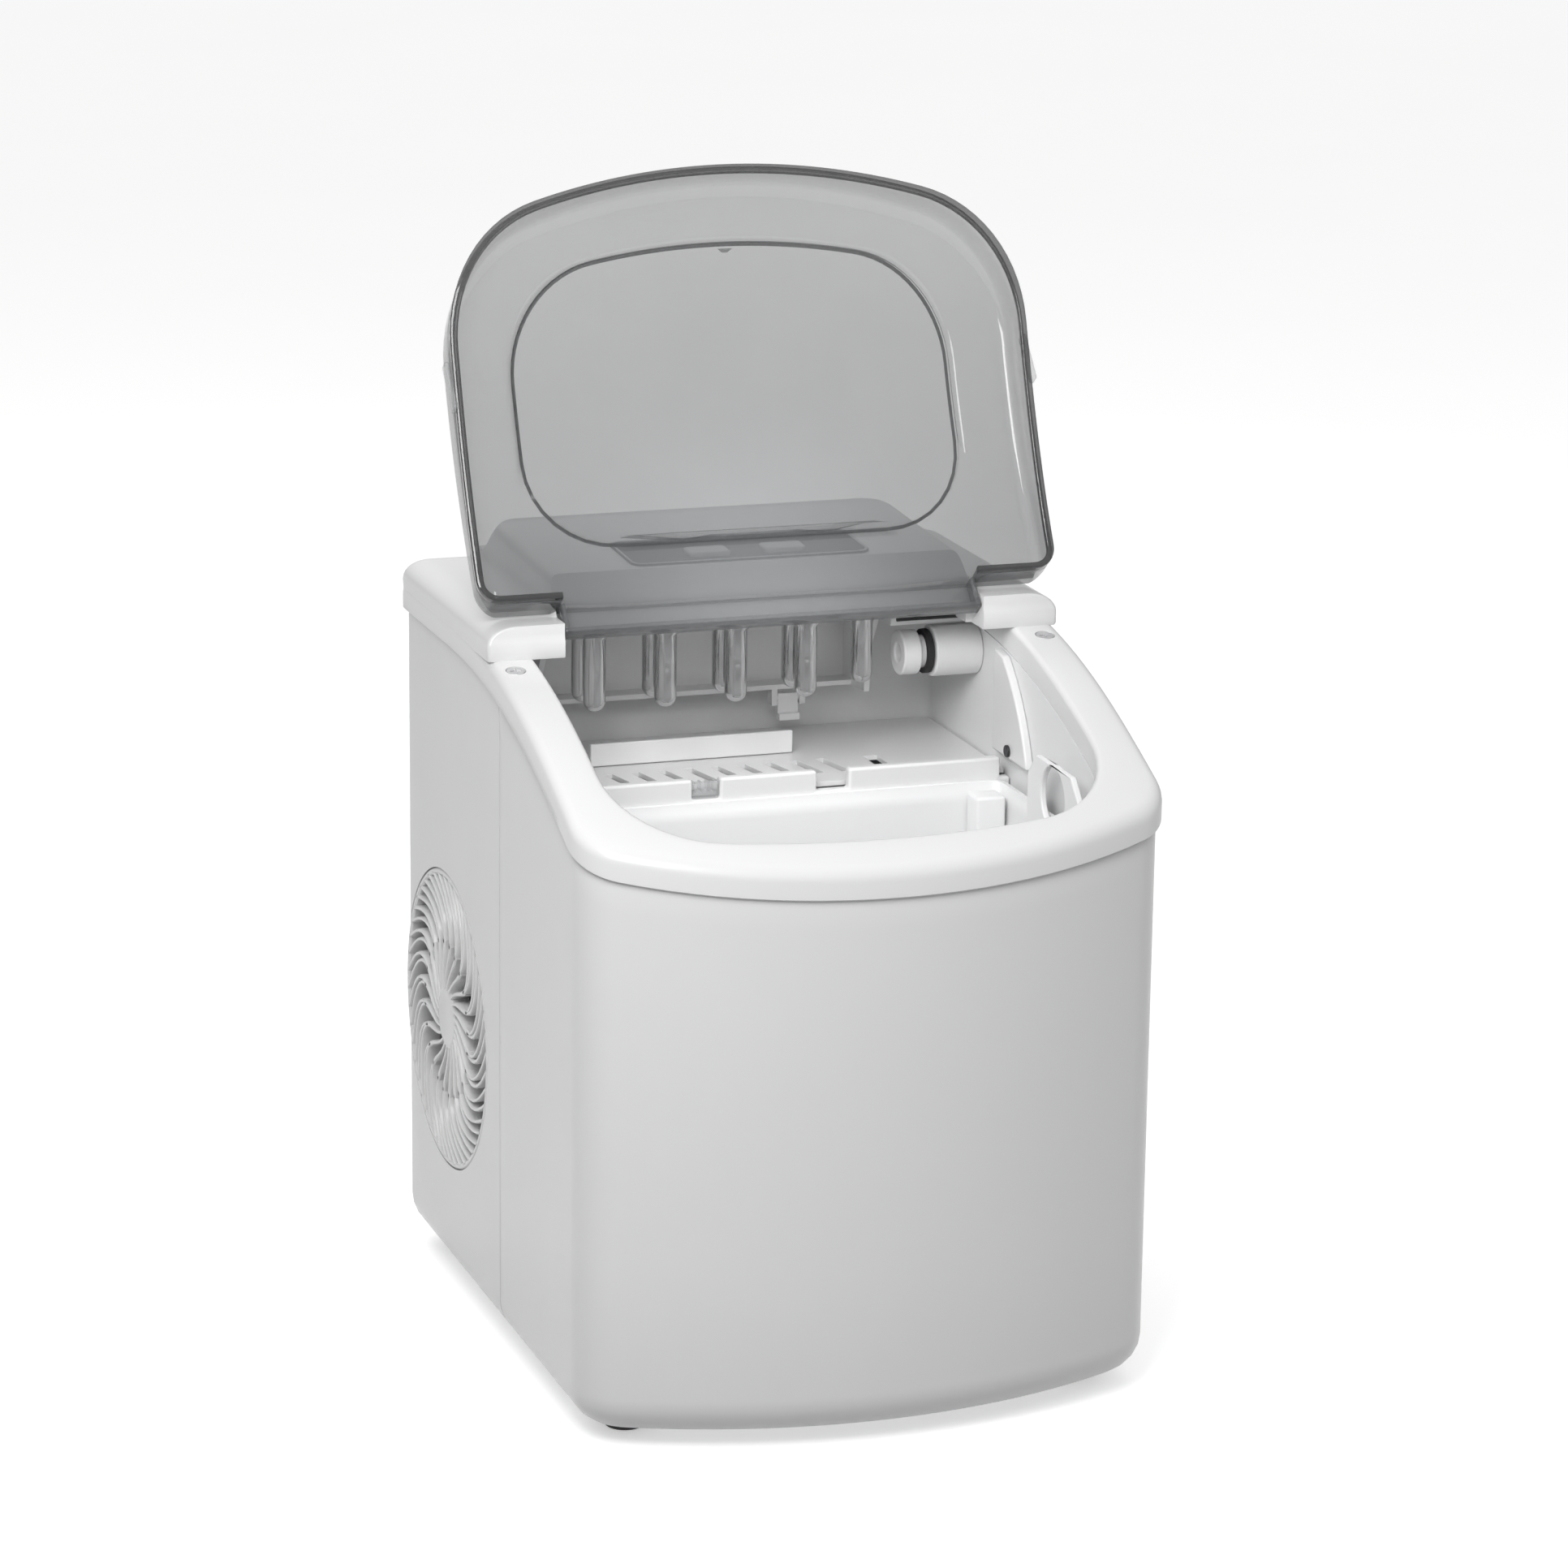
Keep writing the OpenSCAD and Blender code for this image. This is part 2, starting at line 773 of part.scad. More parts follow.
// Plan of the lid in front of the shoulders, drawn in by k
module lid_plan(k) {
    polygon(plan(lid_hw - k, front_y - lid_overhang + k, lid_rear_y - k, 56 - k,
        27 * (lid_hw - k) / lid_hw, 9 - k));
}

// Lid in its closed position
module lid_closed() {
    difference() {
        union() {
            intersection() {
                translate([0, 0, 200]) linear_extrude(150) lid_plan(0);
                below(lid_pts, 0);
            }
            intersection() {
                span([-tongue_hw, 0, 298.5], [tongue_hw, tongue_rear_y, 310]);
                below(lid_pts, 0);
            }
            intersection() {
                for (s = [-1, 1])
                    span([s * (lid_hw + 0.4) - 1.4, -96, 262], [s * (lid_hw + 0.4) + 1.4, -74, 300]);
                slope_body(frame_t + 7);
            }
        }
        intersection() {
            translate([0, 0, 190]) linear_extrude(160) lid_plan(lid_t);
            below(lid_pts, -lid_t);
        }
        span([-tongue_hw + lid_t, -1, 290], [tongue_hw - lid_t, tongue_rear_y - lid_t,
            hinge_z + 1.4]);
        slope_body(frame_t + 0.5);
        for (s = [-1, 1]) span([s * 90.1 - 0.4, 0.8 - eps, 250], [s * 90.1 + 0.4, 20, 330]);
    }
}

module lid_shell() {
    color(smoke) lid_turn(-lid_open_deg) lid_closed();
}

module lid_hinge_pins() {
    color(smoke) for (s = [-1, 1])
        rod_x(min(s * tongue_hw, s * 94.8), max(s * tongue_hw, s * 94.8), hinge_y, hinge_z,
            lid_pin_r);
}

// ---- Drain and cord ----

module drain_port() {
    color(shade) difference() {
        union() {
            rod_y(rear_y - 24, rear_y - 2.2, -75, 36, 9);
            rod_y(rear_y - 2, rear_y - 0.2, -75, 36, 11);
            rod_y(rear_y - 2.3, rear_y - 1.9, -75, 36, 9);
        }
        rod_y(rear_y - 22, rear_y + 5, -75, 36, 5.5);
    }
}

module drain_plug() {
    color(dark) {
        rod_y(rear_y - 14, rear_y, -75, 36, 5.4);
        rod_y(rear_y, rear_y + 3, -75, 36, 9);
    }
}

module cord_gland() {
    color(dark) difference() {
        union() {
            rod_y(rear_y - 10, rear_y - 1.9, 70, 40, 7);
            rod_y(rear_y - 2, rear_y + 3, 70, 40, 9);
        }
        rod_y(rear_y - 15, rear_y + 5, 70, 40, 3.6);
    }
}

base_pan();
rubber_feet();
front_shell();
rear_shell();
vent_grille();
top_frame();
control_cover();
control_overlay();
indicator_lenses();
circuit_board();
power_button();
select_button();
frame_screws();
inner_tub();
ice_guide();
clear_guide();
drip_grate();
chamber_roof();
evaporator_block();
freezing_fingers();
refrigerant_line();
compressor();
condenser();
fan_shroud();
fan_motor();
fan_rotor();
water_pump();
water_hose();
water_spout();
spout_seal();
tray_bracket();
tray_motor();
water_tray();
tray_shaft();
push_arm();
ice_shovel();
sensor_cover_left();
sensor_cover_right();
sensor_lenses();
sensor_wire();
ice_basket();
lid_shell();
lid_hinge_pins();
drain_port();
drain_plug();
cord_gland();
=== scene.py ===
"""Countertop ice maker: shells, clear lid, sloping cover, basket and ice-making parts, dressed."""
from __future__ import annotations

import json
import logging
import math
from dataclasses import dataclass, field, replace
from enum import Enum
from typing import Callable, Iterable, Sequence

import bmesh
import bpy
from mathutils import Matrix, Vector

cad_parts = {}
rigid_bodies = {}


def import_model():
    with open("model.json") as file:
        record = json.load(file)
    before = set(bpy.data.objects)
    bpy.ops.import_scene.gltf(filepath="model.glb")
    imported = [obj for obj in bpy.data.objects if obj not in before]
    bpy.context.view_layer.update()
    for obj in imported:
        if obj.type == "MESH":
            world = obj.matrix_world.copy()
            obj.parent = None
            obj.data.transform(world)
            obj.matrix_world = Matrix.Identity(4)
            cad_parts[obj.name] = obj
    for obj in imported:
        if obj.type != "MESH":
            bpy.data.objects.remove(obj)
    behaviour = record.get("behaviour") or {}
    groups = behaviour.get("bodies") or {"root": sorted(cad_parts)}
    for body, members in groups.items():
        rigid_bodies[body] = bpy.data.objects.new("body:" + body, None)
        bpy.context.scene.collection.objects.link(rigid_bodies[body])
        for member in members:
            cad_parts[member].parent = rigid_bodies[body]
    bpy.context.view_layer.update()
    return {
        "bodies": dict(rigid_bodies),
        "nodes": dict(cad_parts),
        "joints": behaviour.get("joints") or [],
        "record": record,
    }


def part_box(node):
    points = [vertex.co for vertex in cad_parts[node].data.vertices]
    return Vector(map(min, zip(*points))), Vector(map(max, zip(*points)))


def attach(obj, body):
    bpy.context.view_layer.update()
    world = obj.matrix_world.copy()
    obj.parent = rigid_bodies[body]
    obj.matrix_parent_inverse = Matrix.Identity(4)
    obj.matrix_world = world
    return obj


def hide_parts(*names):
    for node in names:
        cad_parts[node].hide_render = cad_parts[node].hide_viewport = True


LOG = logging.getLogger("ice_maker")
MM = 0.001
Height = Callable[[float], float]
Ring = list[Vector]


class Body(Enum):
    """The rigid bodies that pieces ride on."""

    MAIN = "body"
    LID = "lid"
    BASKET = "basket"
    TRAY = "tray"
    ARM = "arm"
    SHOVEL = "shovel"
    POWER = "power_key"
    SELECT = "select_key"
    FAN = "fan"
    PLUG = "plug"


# ---------------------------------------------------------------- shader maths


class Sock:
    """A shader socket that sums and scales with Python operators."""

    def __init__(self, graph: "Graph", socket: bpy.types.NodeSocket) -> None:
        """Keep the graph that owns the socket.

        Args:
            graph: the node graph the socket belongs to.
            socket: the output socket.
        """
        self.graph = graph
        self.socket = socket

    def _math(self, operation: str, a: "Sock | float", b: "Sock | float") -> "Sock":
        """Add one Math node and return its value."""
        return self.graph.node("ShaderNodeMath", {"operation": operation}, {0: a, 1: b})

    def __add__(self, other: "Sock | float") -> "Sock":
        """Sum."""
        return self._math("ADD", self, other)

    def __radd__(self, other: float) -> "Sock":
        """Sum with a number on the left."""
        return self._math("ADD", other, self)

    def __sub__(self, other: "Sock | float") -> "Sock":
        """Difference."""
        return self._math("SUBTRACT", self, other)

    def __rsub__(self, other: float) -> "Sock":
        """Number minus socket."""
        return self._math("SUBTRACT", other, self)

    def __mul__(self, other: "Sock | float") -> "Sock":
        """Product."""
        return self._math("MULTIPLY", self, other)

    def __rmul__(self, other: float) -> "Sock":
        """Product with a number on the left."""
        return self._math("MULTIPLY", other, self)


class Graph:
    """A material's node graph with one Principled surface."""

    def __init__(self, name: str) -> None:
        """Start an empty material.

        Args:
            name: the material's name.
        """
        self.material = bpy.data.materials.new(name)
        self.material.use_nodes = True
        self.tree = self.material.node_tree
        self.tree.nodes.clear()
        self.out = self.tree.nodes.new("ShaderNodeOutputMaterial")
        self.surface = self.tree.nodes.new("ShaderNodeBsdfPrincipled")
        self.tree.links.new(self.surface.outputs[0], self.out.inputs["Surface"])

    def node(
        self,
        kind: str,
        settings: dict[str, object] | None = None,
        inputs: dict[int | str, object] | None = None,
        output: int | str = 0,
    ) -> Sock:
        """Add any node: settings first, then the values or links of its sockets.

        Args:
            kind: the node's type name.
            settings: attributes of the node.
            inputs: socket index or name to a value or a Sock.
            output: the output to return.

        Returns:
            The chosen output.
        """
        made = self.tree.nodes.new(kind)
        for key, value in (settings or {}).items():
            setattr(made, key, value)
        for key, value in (inputs or {}).items():
            if isinstance(value, Sock):
                self.tree.links.new(value.socket, made.inputs[key])
            else:
                made.inputs[key].default_value = value
        return Sock(self, made.outputs[output])

    def place(self) -> Sock:
        """The object's own coordinates, in metres."""
        return self.node("ShaderNodeTexCoord", output="Object")

    def noise(self, scale: float, detail: float = 3.0, rough: float = 0.55) -> Sock:
        """Cloudy value from 0 to 1 at a scale in cycles per metre."""
        return self.node(
            "ShaderNodeTexNoise",
            {},
            {"Vector": self.place(), "Scale": scale, "Detail": detail, "Roughness": rough},
        )

    def blend(self, factor: Sock, low: tuple[float, ...], high: tuple[float, ...]) -> Sock:
        """Mix two colours by a factor."""
        return self.node(
            "ShaderNodeMix",
            {"data_type": "RGBA"},
            {0: factor, 6: (*low, 1.0), 7: (*high, 1.0)},
            output=2,
        )

    def bump(self, height: Sock, strength: float, distance: float) -> Sock:
        """A Bump node's normal from a height value."""
        return self.node(
            "ShaderNodeBump", {}, {"Strength": strength, "Distance": distance, "Height": height}
        )

    def feed(self, name: str, value: object) -> None:
        """Link a Sock, or set a constant, on a socket of the Principled surface."""
        if isinstance(value, Sock):
            self.tree.links.new(value.socket, self.surface.inputs[name])
        else:
            self.surface.inputs[name].default_value = value


@dataclass(frozen=True)
class Plastic:
    """Moulded plastic: faint flow clouds in colour and sheen, and a fine spark-eroded grain."""

    name: str
    colour: tuple[float, float, float]
    roughness: float = 0.34
    grain: float = 0.12
    grain_scale: float = 1500.0
    cloud: float = 0.02
    coat: float = 0.0

    def build(self) -> bpy.types.Material:
        """Make the material.

        Returns:
            The finished material.
        """
        g = Graph(self.name)
        clouds = g.noise(14.0, 3.0)
        low = tuple(c * (1 - self.cloud) for c in self.colour)
        high = tuple(min(1.0, c * (1 + self.cloud)) for c in self.colour)
        g.feed("Base Color", g.blend(clouds, low, high))
        fine = g.noise(self.grain_scale, 2.0, 0.5)
        smudge = g.noise(45.0, 4.0, 0.6)
        g.feed("Roughness", smudge * 0.08 + fine * 0.04 + (self.roughness - 0.06))
        swell = g.noise(60.0, 1.0)
        g.feed("Normal", g.bump(fine * 0.5 + swell * 0.5, self.grain, 0.00012))
        g.feed("Coat Weight", self.coat)
        g.feed("Coat Roughness", 0.08)
        return g.material


@dataclass(frozen=True)
class Smoked:
    """Clear smoked plastic: see-through face on, darker and denser towards its edges, with painted shade
    making it more opaque towards its lower part.
    """

    name: str
    colour: tuple[float, float, float] = (0.16, 0.165, 0.17)
    face: float = 0.33
    edge: float = 0.85
    roughness: float = 0.06
    # depth: painted shade, extra opacity towards the lower part so it looks darker at the bottom
    depth: float = 0.14

    def build(self) -> bpy.types.Material:
        """Make the material.

        Returns:
            The finished material.
        """
        g = Graph(self.name)
        turn = g.node("ShaderNodeLayerWeight", {}, {"Blend": 0.32}, output="Facing")
        deep = turn * turn
        haze = g.noise(30.0, 3.0)
        g.feed("Base Color", g.blend(deep, self.colour, tuple(c * 0.25 for c in self.colour)))
        # Painted shade: opacity rises below 0.45 m of object height, so the lower part looks darker.
        height = g.node("ShaderNodeSeparateXYZ", {}, {0: g.place()}, output=2)
        low = g.node("ShaderNodeMath", {"operation": "MULTIPLY", "use_clamp": True},
                     {0: 0.45 - height, 1: 8.0})
        g.feed("Alpha", deep * (self.edge - self.face) + haze * 0.03 + low * self.depth + self.face)
        g.feed("Roughness", haze * 0.04 + self.roughness)
        g.feed("Normal", g.bump(g.noise(70.0, 1.0), 0.04, 0.0002))
        g.feed("IOR", 1.5)
        g.feed("Specular IOR Level", 0.8)
        g.feed("Coat Weight", 0.6)
        g.feed("Coat Roughness", 0.03)
        return g.material


@dataclass(frozen=True)
class Metal:
    """Bare or plated metal with a drawn or cast surface."""

    name: str
    colour: tuple[float, float, float]
    roughness: float = 0.18
    drawn: float = 0.0
    metallic: float = 1.0

    def build(self) -> bpy.types.Material:
        """Make the material.

        Returns:
            The finished material.
        """
        g = Graph(self.name)
        cloud = g.noise(60.0, 4.0)
        low = tuple(c * 0.9 for c in self.colour)
        g.feed("Base Color", g.blend(cloud, low, self.colour))
        g.feed("Metallic", self.metallic)
        lines = g.node(
            "ShaderNodeMapping", {}, {"Vector": g.place(), "Scale": (900.0, 900.0, 30.0)}
        )
        streak = g.node("ShaderNodeTexNoise", {}, {"Vector": lines, "Scale": 1.0, "Detail": 2.0})
        g.feed("Roughness", cloud * 0.08 + streak * (0.05 + self.drawn) + self.roughness)
        g.feed("Normal", g.bump(streak, 0.05 + self.drawn, 0.00005))
        return g.material


class Finishes:
    """All finishes of the ice maker, made once and kept by name."""

    def __init__(self) -> None:
        """Build every finish."""
        white = (0.72, 0.72, 0.722)
        self.recipes: dict[str, Plastic | Smoked | Metal] = {
            "shell": Plastic("white_shell", white, 0.36, 0.10, 1600.0, 0.012, 0.15),
            "frame": Plastic("white_frame", (0.76, 0.76, 0.762), 0.33, 0.08, 1600.0, 0.012, 0.2),
            "inner": Plastic("inner_white", (0.80, 0.802, 0.805), 0.4, 0.08, 1200.0, 0.02),
            "basket": Plastic("basket_white", (0.84, 0.842, 0.845), 0.38, 0.06, 1200.0, 0.02),
            "panel": Plastic("panel_film", (0.085, 0.088, 0.095), 0.42, 0.15, 2400.0, 0.05),
            "border": Plastic("panel_border", (0.5, 0.51, 0.52), 0.4, 0.05, 1500.0, 0.02),
            "button": Plastic("button_grey", (0.55, 0.56, 0.575), 0.3, 0.06, 1500.0, 0.03, 0.3),
            "lens": Plastic("lens_grey", (0.34, 0.35, 0.37), 0.15, 0.02, 1000.0, 0.03, 0.8),
            "black": Plastic("black_plastic", (0.03, 0.03, 0.033), 0.42, 0.25, 900.0, 0.1),
            "rubber": Plastic("black_rubber", (0.022, 0.022, 0.023), 0.7, 0.4, 700.0, 0.15),
            "grey": Plastic("grey_case", (0.5, 0.505, 0.51), 0.45, 0.15, 900.0, 0.04),
            "board": Plastic("circuit_board", (0.03, 0.16, 0.08), 0.35, 0.3, 500.0, 0.2, 0.4),
            "hose": Plastic("silicone_hose", (0.66, 0.68, 0.69), 0.3, 0.05, 600.0, 0.04, 0.2),
            "chrome": Metal("plated_finger", (0.62, 0.62, 0.625), 0.06),
            "aluminium": Metal("aluminium", (0.72, 0.73, 0.74), 0.3, 0.1),
            "copper": Metal("copper_tube", (0.72, 0.4, 0.26), 0.22, 0.05),
            "steel": Metal("screw_steel", (0.8, 0.8, 0.81), 0.25, 0.05),
            "enamel": Metal("black_enamel", (0.03, 0.03, 0.033), 0.35, 0.0, 0.0),
            # smoked and smoked_rim keep the default depth of painted shade, darker towards the bottom; the
            # clear one has none.
            "smoked": Smoked("smoked_lid"),
            "smoked_rim": Smoked("smoked_rim", (0.03, 0.03, 0.032), 0.55, 0.97, 0.05),
            "clear": Smoked("clear_guide", (0.55, 0.56, 0.57), 0.25, 0.6, 0.1, 0.0),
        }
        self.made: dict[str, bpy.types.Material] = {}

    def get(self, key: str) -> bpy.types.Material:
        """The finish of that name, built at its first use."""
        if key not in self.made:
            self.made[key] = self.recipes[key].build()
        return self.made[key]


# ---------------------------------------------------------------- outlines


def curve_table(a: tuple[float, float], b: tuple[float, float], c: tuple[float, float],
                d: tuple[float, float], steps: int) -> list[tuple[float, float]]:
    """Points of a cubic curve from a to d, pulled towards b and c.

    Args:
        a: start point (y, z).
        b: first pull.
        c: second pull.
        d: end point.
        steps: number of spans.

    Returns:
        The points in order.
    """
    pts = []
    for i in range(steps + 1):
        t = i / steps
        u = 1 - t
        w = (u * u * u, 3 * t * u * u, 3 * t * t * u, t * t * t)
        pts.append(tuple(sum(k * p[j] for k, p in zip(w, (a, b, c, d))) for j in (0, 1)))
    return pts


def lookup(pts: Sequence[tuple[float, float]], y: float) -> float:
    """Height of a profile at y, straight between its points."""
    if y <= pts[0][0]:
        (y0, z0), (y1, z1) = pts[0], pts[1]
    elif y >= pts[-1][0]:
        (y0, z0), (y1, z1) = pts[-2], pts[-1]
    else:
        (y0, z0), (y1, z1) = next((p, q) for p, q in zip(pts, pts[1:]) if p[0] <= y <= q[0])
    return z0 + (z1 - z0) * (y - y0) / (y1 - y0)


PARTING = [(-200.0, 212.5), *curve_table((-152, 227), (-97, 244), (-42, 284), (63, 285), 60),
           (200.0, 285.0)]
LID_TOP = [(-190.0, 231.0), *curve_table((-164, 249), (-112, 282), (-60, 303), (3, 306.3), 60),
           (40.0, 306.4)]


def parting(y: float) -> float:
    """Height of the line between the shells and the top frame."""
    return lookup(PARTING, y)


def lid_top(y: float) -> float:
    """Height of the closed lid's outside."""
    return lookup(LID_TOP, y)


@dataclass(frozen=True)
class Plan:
    """D-shaped outline: straight sides, bowed front, rounded corners. Millimetres."""

    half_width: float
    front: float
    rear: float
    corner: float
    bow: float
    rear_corner: float
    side_steps: int = 14
    arc_steps: int = 10
    notch: float = 0.0

    def inset(self, k: float, front: float | None = None, rear: float | None = None) -> "Plan":
        """Draw the outline in.

        Args:
            k: by how much.
            front: another amount for its front.
            rear: another amount for its rear.

        Returns:
            The smaller outline.
        """
        return replace(
            self,
            half_width=self.half_width - k,
            front=self.front + (k if front is None else front),
            rear=self.rear - (k if rear is None else rear),
            corner=max(1.5, self.corner - k * 0.6),
            bow=self.bow * (self.half_width - k) / self.half_width,
            rear_corner=max(1.0, self.rear_corner - k),
        )

    def _corner_y(self) -> tuple[float, float]:
        """Y of the front corner's centre, and of the front arc's centre."""
        radius = (self.half_width**2 + self.bow**2) / (2 * self.bow)
        centre = self.front + radius
        reach = math.sqrt((radius - self.corner) ** 2 - (self.half_width - self.corner) ** 2)
        return centre - reach, centre

    def front_half(self, start: float) -> list[tuple[float, float]]:
        """Right half of the front part, from (half_width, start) to the middle.

        Args:
            start: y where the side begins.

        Returns:
            Points in order; the middle itself is left out.
        """
        cy, centre = self._corner_y()
        radius = centre - self.front
        end = math.atan2(cy - centre, self.half_width - self.corner)
        steps = self.side_steps
        pts = [(self.half_width, start + (cy - start) * i / steps) for i in range(steps)]
        for i in range(self.arc_steps + 1):
            t = end * i / self.arc_steps
            pts.append((self.half_width - self.corner + self.corner * math.cos(t),
                        cy + self.corner * math.sin(t)))
        count = self.arc_steps + 2
        for i in range(1, count):
            t = end + (-math.pi / 2 - end) * i / (count - 0.5)
            pts.append((radius * math.cos(t), centre + radius * math.sin(t)))
        return pts

    def rear_half(self, start: float) -> list[tuple[float, float]]:
        """Right half of the rear part, from (half_width, start) towards the rear middle."""
        r = self.rear_corner
        pts = [(self.half_width, start + (self.rear - r - start) * i / 8) for i in range(8)]
        for i in range(9):
            t = math.pi / 2 * i / 8
            pts.append((self.half_width - r + r * math.cos(t), self.rear - r + r * math.sin(t)))
        spots = (self.notch, self.notch * 0.6, self.notch * 0.3) if self.notch else [
            (self.half_width - r) * (1 - i / 4) for i in range(1, 4)]
        return pts + [(x, self.rear) for x in spots]

    def wrap(self, start: float, rear: bool = False) -> list[tuple[float, float]]:
        """Open outline from the right side round the front or rear to the left side."""
        half = self.rear_half(start) if rear else self.front_half(start)
        return half + [(-x, y) for x, y in reversed(half)]

    def half(self) -> list[tuple[float, float]]:
        """Right half of the whole outline, from the rear middle to the front middle."""
        middle = (self.rear - self.rear_corner + self._corner_y()[0]) / 2
        return list(reversed(self.rear_half(middle)[1:])) + self.front_half(middle)

    def closed(self) -> list[tuple[float, float]]:
        """The whole outline, right half then left half."""
        half = self.half()
        return half + [(-x, y) for x, y in reversed(half)]


def lifted(points: Iterable[tuple[float, float]], height: Height | float) -> Ring:
    """Points raised to a height that may change with y."""
    return [Vector((x, y, height(y) if callable(height) else height)) for x, y in points]


def mixed(a: Ring, b: Ring, t: float, height: Height) -> Ring:
    """Points between two rings, on a surface whose height changes with y."""
    pts = [p.lerp(q, t) for p, q in zip(a, b)]
    return [Vector((p.x, p.y, height(p.y))) for p in pts]


# ---------------------------------------------------------------- mesh tools


class Shape:
    """A bmesh in millimetres with the operations the pieces share."""

    def __init__(self) -> None:
        """Start empty."""
        self.bm = bmesh.new()

    def loft(self, rings: Sequence[Ring], closed: bool = True, cap_last: bool = False,
             cap_first: bool = False, join_ends: bool = False) -> "Shape":
        """Skin a row of rings with the same number of points.

        Args:
            rings: the rings in order.
            closed: whether each ring closes on itself.
            cap_last: close the last ring with strips from right to left.
            cap_first: the same for the first ring.
            join_ends: join the last ring to the first.

        Returns:
            This shape.
        """
        bm = self.bm
        rows = []
        for ring in rings:
            verts = [bm.verts.new(p) for p in ring]
            pairs = list(zip(verts, verts[1:])) + ([(verts[-1], verts[0])] if closed else [])
            rows.append((verts, [bm.edges.new(pair) for pair in pairs]))
        spans = list(zip(rows, rows[1:])) + ([(rows[-1], rows[0])] if join_ends else [])
        for (_, lower), (_, upper) in spans:
            bmesh.ops.bridge_loops(bm, edges=lower + upper)
        for wanted, (verts, edges) in ((cap_last, rows[-1]), (cap_first, rows[0])):
            if wanted:
                n = len(verts) // 2
                bmesh.ops.bridge_loops(bm, edges=edges[: n - 1] + edges[n : 2 * n - 1])
        bmesh.ops.recalc_face_normals(bm, faces=bm.faces)
        return self

    def box(self, low: Sequence[float], high: Sequence[float], bevel: float = 0.0,
            segments: int = 3) -> "Shape":
        """Add a box between two corners, its edges rounded.

        Args:
            low: its low corner.
            high: its high corner.
            bevel: how far its edges are rounded.
            segments: spans in the rounding.

        Returns:
            This shape.
        """
        size = [h - l for l, h in zip(low, high)]
        mid = [(h + l) / 2 for l, h in zip(low, high)]
        matrix = Matrix.Translation(mid) @ Matrix.Diagonal((*size, 1.0))
        made = bmesh.ops.create_cube(self.bm, size=1.0, matrix=matrix)
        if bevel > 0:
            edges = list({e for v in made["verts"] for e in v.link_edges})
            bmesh.ops.bevel(self.bm, geom=edges, offset=bevel, segments=segments, profile=0.5,
                            affect="EDGES", material=-1)
        return self

    def turned(self, profile: Sequence[tuple[float, float]], matrix: Matrix,
               steps: int = 40) -> "Shape":
        """Spin a profile of (radius, height) points about Z, then place it.

        Args:
            profile: points from the bottom of the axis to its top.
            matrix: placement.
            steps: spans round the axis.

        Returns:
            This shape.
        """
        bm = self.bm
        verts = [bm.verts.new((r, 0, z)) for r, z in profile]
        edges = [bm.edges.new(pair) for pair in zip(verts, verts[1:])]
        before = set(bm.verts) - set(verts)
        bmesh.ops.spin(bm, geom=verts + edges, axis=(0, 0, 1), cent=(0, 0, 0), steps=steps,
                       angle=math.tau, use_merge=True)
        fresh = [v for v in bm.verts if v not in before]
        bmesh.ops.remove_doubles(bm, verts=fresh, dist=0.001)
        fresh = [v for v in bm.verts if v not in before]
        bmesh.ops.transform(bm, matrix=matrix, verts=fresh)
        bmesh.ops.recalc_face_normals(bm, faces=bm.faces)
        return self

    def drill(self, middle: Sequence[float], turn: str, radius: float, depth: float,
              segments: int) -> "Shape":
        """Add a round bar, used as a drill.

        Args:
            middle: its middle.
            turn: the axis that it is turned about by a quarter turn.
            radius: its radius.
            depth: its length.
            segments: facets round it.

        Returns:
            This shape.
        """
        matrix = Matrix.Translation(middle) @ Matrix.Rotation(math.pi / 2, 4, turn)
        bmesh.ops.create_cone(self.bm, cap_ends=True, segments=segments, radius1=radius,
                              radius2=radius, depth=depth, matrix=matrix)
        return self

    def drop(self, unwanted: Callable[[Vector], bool], refill: bool = False) -> "Shape":
        """Take away some faces.

        Args:
            unwanted: says of a face's middle whether the face goes.
            refill: whether the gaps are closed afterwards.

        Returns:
            This shape.
        """
        faces = [f for f in self.bm.faces if unwanted(f.calc_center_median())]
        bmesh.ops.delete(self.bm, geom=faces, context="FACES")
        if refill:
            rim = [e for e in self.bm.edges if len(e.link_faces) == 1]
            bmesh.ops.edgeloop_fill(self.bm, edges=rim)
            bmesh.ops.recalc_face_normals(self.bm, faces=self.bm.faces)
        return self

    def bar(self, outline: Sequence[tuple[float, float]], low: float, high: float) -> "Shape":
        """Add a bar along X.

        Args:
            outline: its (y, z) points.
            low: where it starts.
            high: where it ends, on either side of its start.

        Returns:
            This shape.
        """
        face = self.bm.faces.new([self.bm.verts.new((low, y, z)) for y, z in outline])
        made = bmesh.ops.extrude_face_region(self.bm, geom=[face])
        fresh = [v for v in made["geom"] if isinstance(v, bmesh.types.BMVert)]
        bmesh.ops.translate(self.bm, vec=(high - low, 0, 0), verts=fresh)
        bmesh.ops.recalc_face_normals(self.bm, faces=self.bm.faces)
        return self

    def move(self, matrix: Matrix) -> "Shape":
        """Place the whole shape."""
        bmesh.ops.transform(self.bm, matrix=matrix, verts=self.bm.verts)
        return self

    def mesh(self, name: str, smooth_below: float = 38.0) -> bpy.types.Object:
        """Finish as an object in metres with smooth faces and sharp edges kept.

        Args:
            name: the object's name.
            smooth_below: edges sharper than this many degrees stay crisp.

        Returns:
            The object, linked to the scene.
        """
        bmesh.ops.scale(self.bm, vec=(MM, MM, MM), verts=self.bm.verts)
        data = bpy.data.meshes.new(name)
        self.bm.to_mesh(data)
        self.bm.free()
        obj = bpy.data.objects.new(name, data)
        bpy.context.scene.collection.objects.link(obj)
        crisp(obj, smooth_below)
        return obj


def crisp(obj: bpy.types.Object, degrees: float) -> None:
    """Shade an object smooth below an edge angle and crisp above it."""
    obj.data.shade_smooth()
    obj.data.set_sharp_from_angle(angle=math.radians(degrees))


